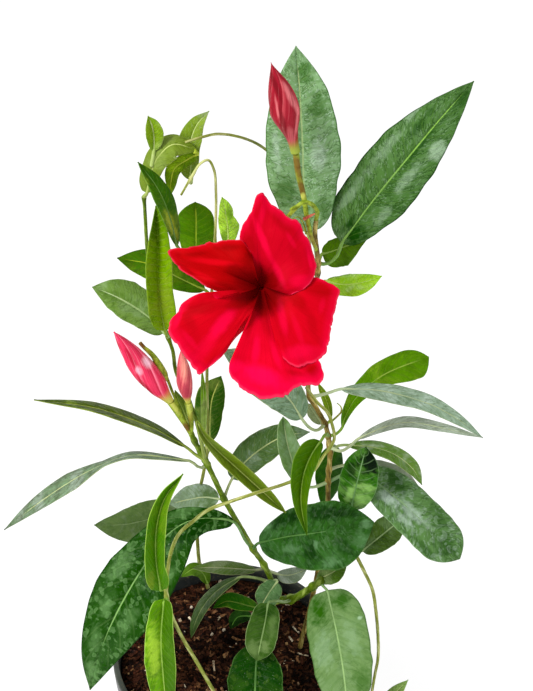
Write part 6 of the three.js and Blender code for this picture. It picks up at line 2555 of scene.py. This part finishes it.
    def dress_chips(self) -> bpy.types.Material:
        """Makes the bark chips: from black-brown to rust and tan, by each chip's tint.

        Returns:
            The material.
        """
        skin = Skin("soil_bark", self.effects)
        wiring = skin.wiring
        tint = wiring.node("ShaderNodeAttribute", attribute_name="tint").outputs["Fac"]
        tone = skin.tint(shade(22, 6, 2), shade(80, 39, 20), wiring.step(tint, 0.3, 0.8))
        tone = skin.tint(tone, shade(158, 112, 72), wiring.step(tint, 0.8, 0.94))
        tone = skin.tint(tone, shade(240, 222, 190), wiring.step(tint, 0.974, 0.984))
        cloud = skin.patch(700.0, 0.42, 0.62)
        tone = skin.tint(tone, shade(16, 7, 3), cloud, 0.7)
        rough = wiring.step(cloud, 0.0, 1.0, 0.5, 0.85)
        return skin.finish(tone, rough, skin.grain(900.0), 0.8, 0.0006, Specular_IOR_Level=0.15)

    def dress_grains(self) -> bpy.types.Material:
        """Makes the pale mineral grains.

        Returns:
            The material.
        """
        skin = Skin("soil_mineral", self.effects)
        wiring = skin.wiring
        tint = wiring.node("ShaderNodeAttribute", attribute_name="tint").outputs["Fac"]
        cloud = skin.patch(900.0, 0.4, 0.7)
        tone = skin.tint(shade(160, 126, 86), shade(222, 208, 184), wiring.step(tint, 0.4, 0.9))
        tone = skin.tint(tone, shade(120, 84, 50), cloud, 0.6)
        rough = wiring.step(cloud, 0.0, 1.0, 0.7, 0.9)
        return skin.finish(tone, rough, skin.grain(1500.0), 0.6, 0.0004, Specular_IOR_Level=0.15)


@dataclass
class Studio:
    """The pale studio: its floor, its soft lights, its sky and the camera."""

    floor_radius: float = 4.0
    focal: float = 58.35
    sky_light: float = 0.62
    sky_gloss: float = 0.12
    key_power: float = 25.0
    fill_power: float = 4.0

    def build(self) -> None:
        """Builds the studio."""
        self._floor()
        self._sky()
        self._light("key", (-0.9, -0.7, 1.5), (0.02, 0.0, 0.3), 0.6, self.key_power)
        self._light("fill", (1.2, -0.6, 0.9), (0.02, 0.0, 0.3), 0.8, self.fill_power)
        self._camera()
        bpy.context.scene.view_settings.view_transform = "Standard"

    def _floor(self) -> None:
        """Adds the floor."""
        bm = bmesh.new()
        bmesh.ops.create_circle(bm, cap_ends=True, segments=96, radius=self.floor_radius)
        bmesh.ops.translate(bm, vec=(0, 0, -0.0002), verts=bm.verts[:])
        mesh = bpy.data.meshes.new("studio_floor")
        bm.to_mesh(mesh)
        bm.free()
        material = bpy.data.materials.new("studio_floor_paint")
        material.use_nodes = True
        wiring = Wiring(material.node_tree)
        shader = material.node_tree.nodes["Principled BSDF"]
        place = wiring.node("ShaderNodeTexCoord").outputs["Object"]
        soft = wiring.step(wiring.noise(place, 3.0), 0.3, 0.7)
        wiring.tree.links.new(
            wiring.mix(soft, (0.3, 0.3, 0.3, 1), (0.32, 0.32, 0.32, 1)),
            shader.inputs["Base Color"],
        )
        shader.inputs["Emission Color"].default_value = (1.0, 1.0, 1.0, 1.0)
        shader.inputs["Emission Strength"].default_value = 0.8
        shader.inputs["Roughness"].default_value = 0.9
        shader.inputs["Specular IOR Level"].default_value = 0.0
        mesh.materials.append(material)
        floor = bpy.data.objects.new("studio_floor", mesh)
        bpy.context.scene.collection.objects.link(floor)

    def _sky(self) -> None:
        """Lights the scene evenly from all round, with a darker sky in what is glossy."""
        world = bpy.data.worlds.new("studio_sky")
        bpy.context.scene.world = world
        world.use_nodes = True
        wiring = Wiring(world.node_tree)
        path = wiring.node("ShaderNodeLightPath")
        light = wiring.step(path.outputs["Is Glossy Ray"], 0.0, 1.0, self.sky_light, self.sky_gloss)
        light = wiring.sum("MAXIMUM", light, path.outputs["Is Camera Ray"])
        sky = world.node_tree.nodes["Background"]
        sky.inputs["Color"].default_value = (1.0, 1.0, 1.0, 1.0)
        wiring.tree.links.new(light, sky.inputs["Strength"])
        world.cycles.sampling_method = "NONE"

    def _light(
        self, name: str, spot: Place, goal: Place, size: float, power: float
    ) -> None:
        """Adds a soft square light.

        Args:
            name: Its name.
            spot: Its place in metres.
            goal: The point that it is turned to.
            size: The length of its side.
            power: Its power in watts.
        """
        lamp = bpy.data.lights.new(name, "AREA")
        lamp.size = size
        lamp.energy = power
        holder = bpy.data.objects.new(name, lamp)
        bpy.context.scene.collection.objects.link(holder)
        holder.location = spot
        holder.rotation_euler = (Vector(goal) - Vector(spot)).to_track_quat("-Z", "Y").to_euler()

    def _camera(self) -> None:
        """Places the camera at the eye of the front view."""
        lens = bpy.data.cameras.new("camera")
        lens.lens = self.focal
        lens.sensor_width = 36.0
        holder = bpy.data.objects.new("camera", lens)
        bpy.context.scene.collection.objects.link(holder)
        holder.location = VIEW.eye * 0.001
        holder.rotation_euler = VIEW.forward.to_track_quat("-Z", "Y").to_euler()
        bpy.context.scene.camera = holder


def main() -> None:
    """Builds the plant over its solids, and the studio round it."""
    logging.basicConfig(level=logging.INFO, format="%(message)s")
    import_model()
    effects = Effects()
    starts = [VIEW.at(plan.stalk[0]) for plan in LEAVES + SPROUTS]
    Stems(STEMS, starts, effects).build()
    Foliage(LEAVES, SPROUTS, effects).build()
    Flower(effects).build()
    Buds(effects).build()
    Tendrils(effects).build()
    Pot(effects).build()
    Soil(effects).build()
    Studio().build()


if __name__ == "__main__":
    main()
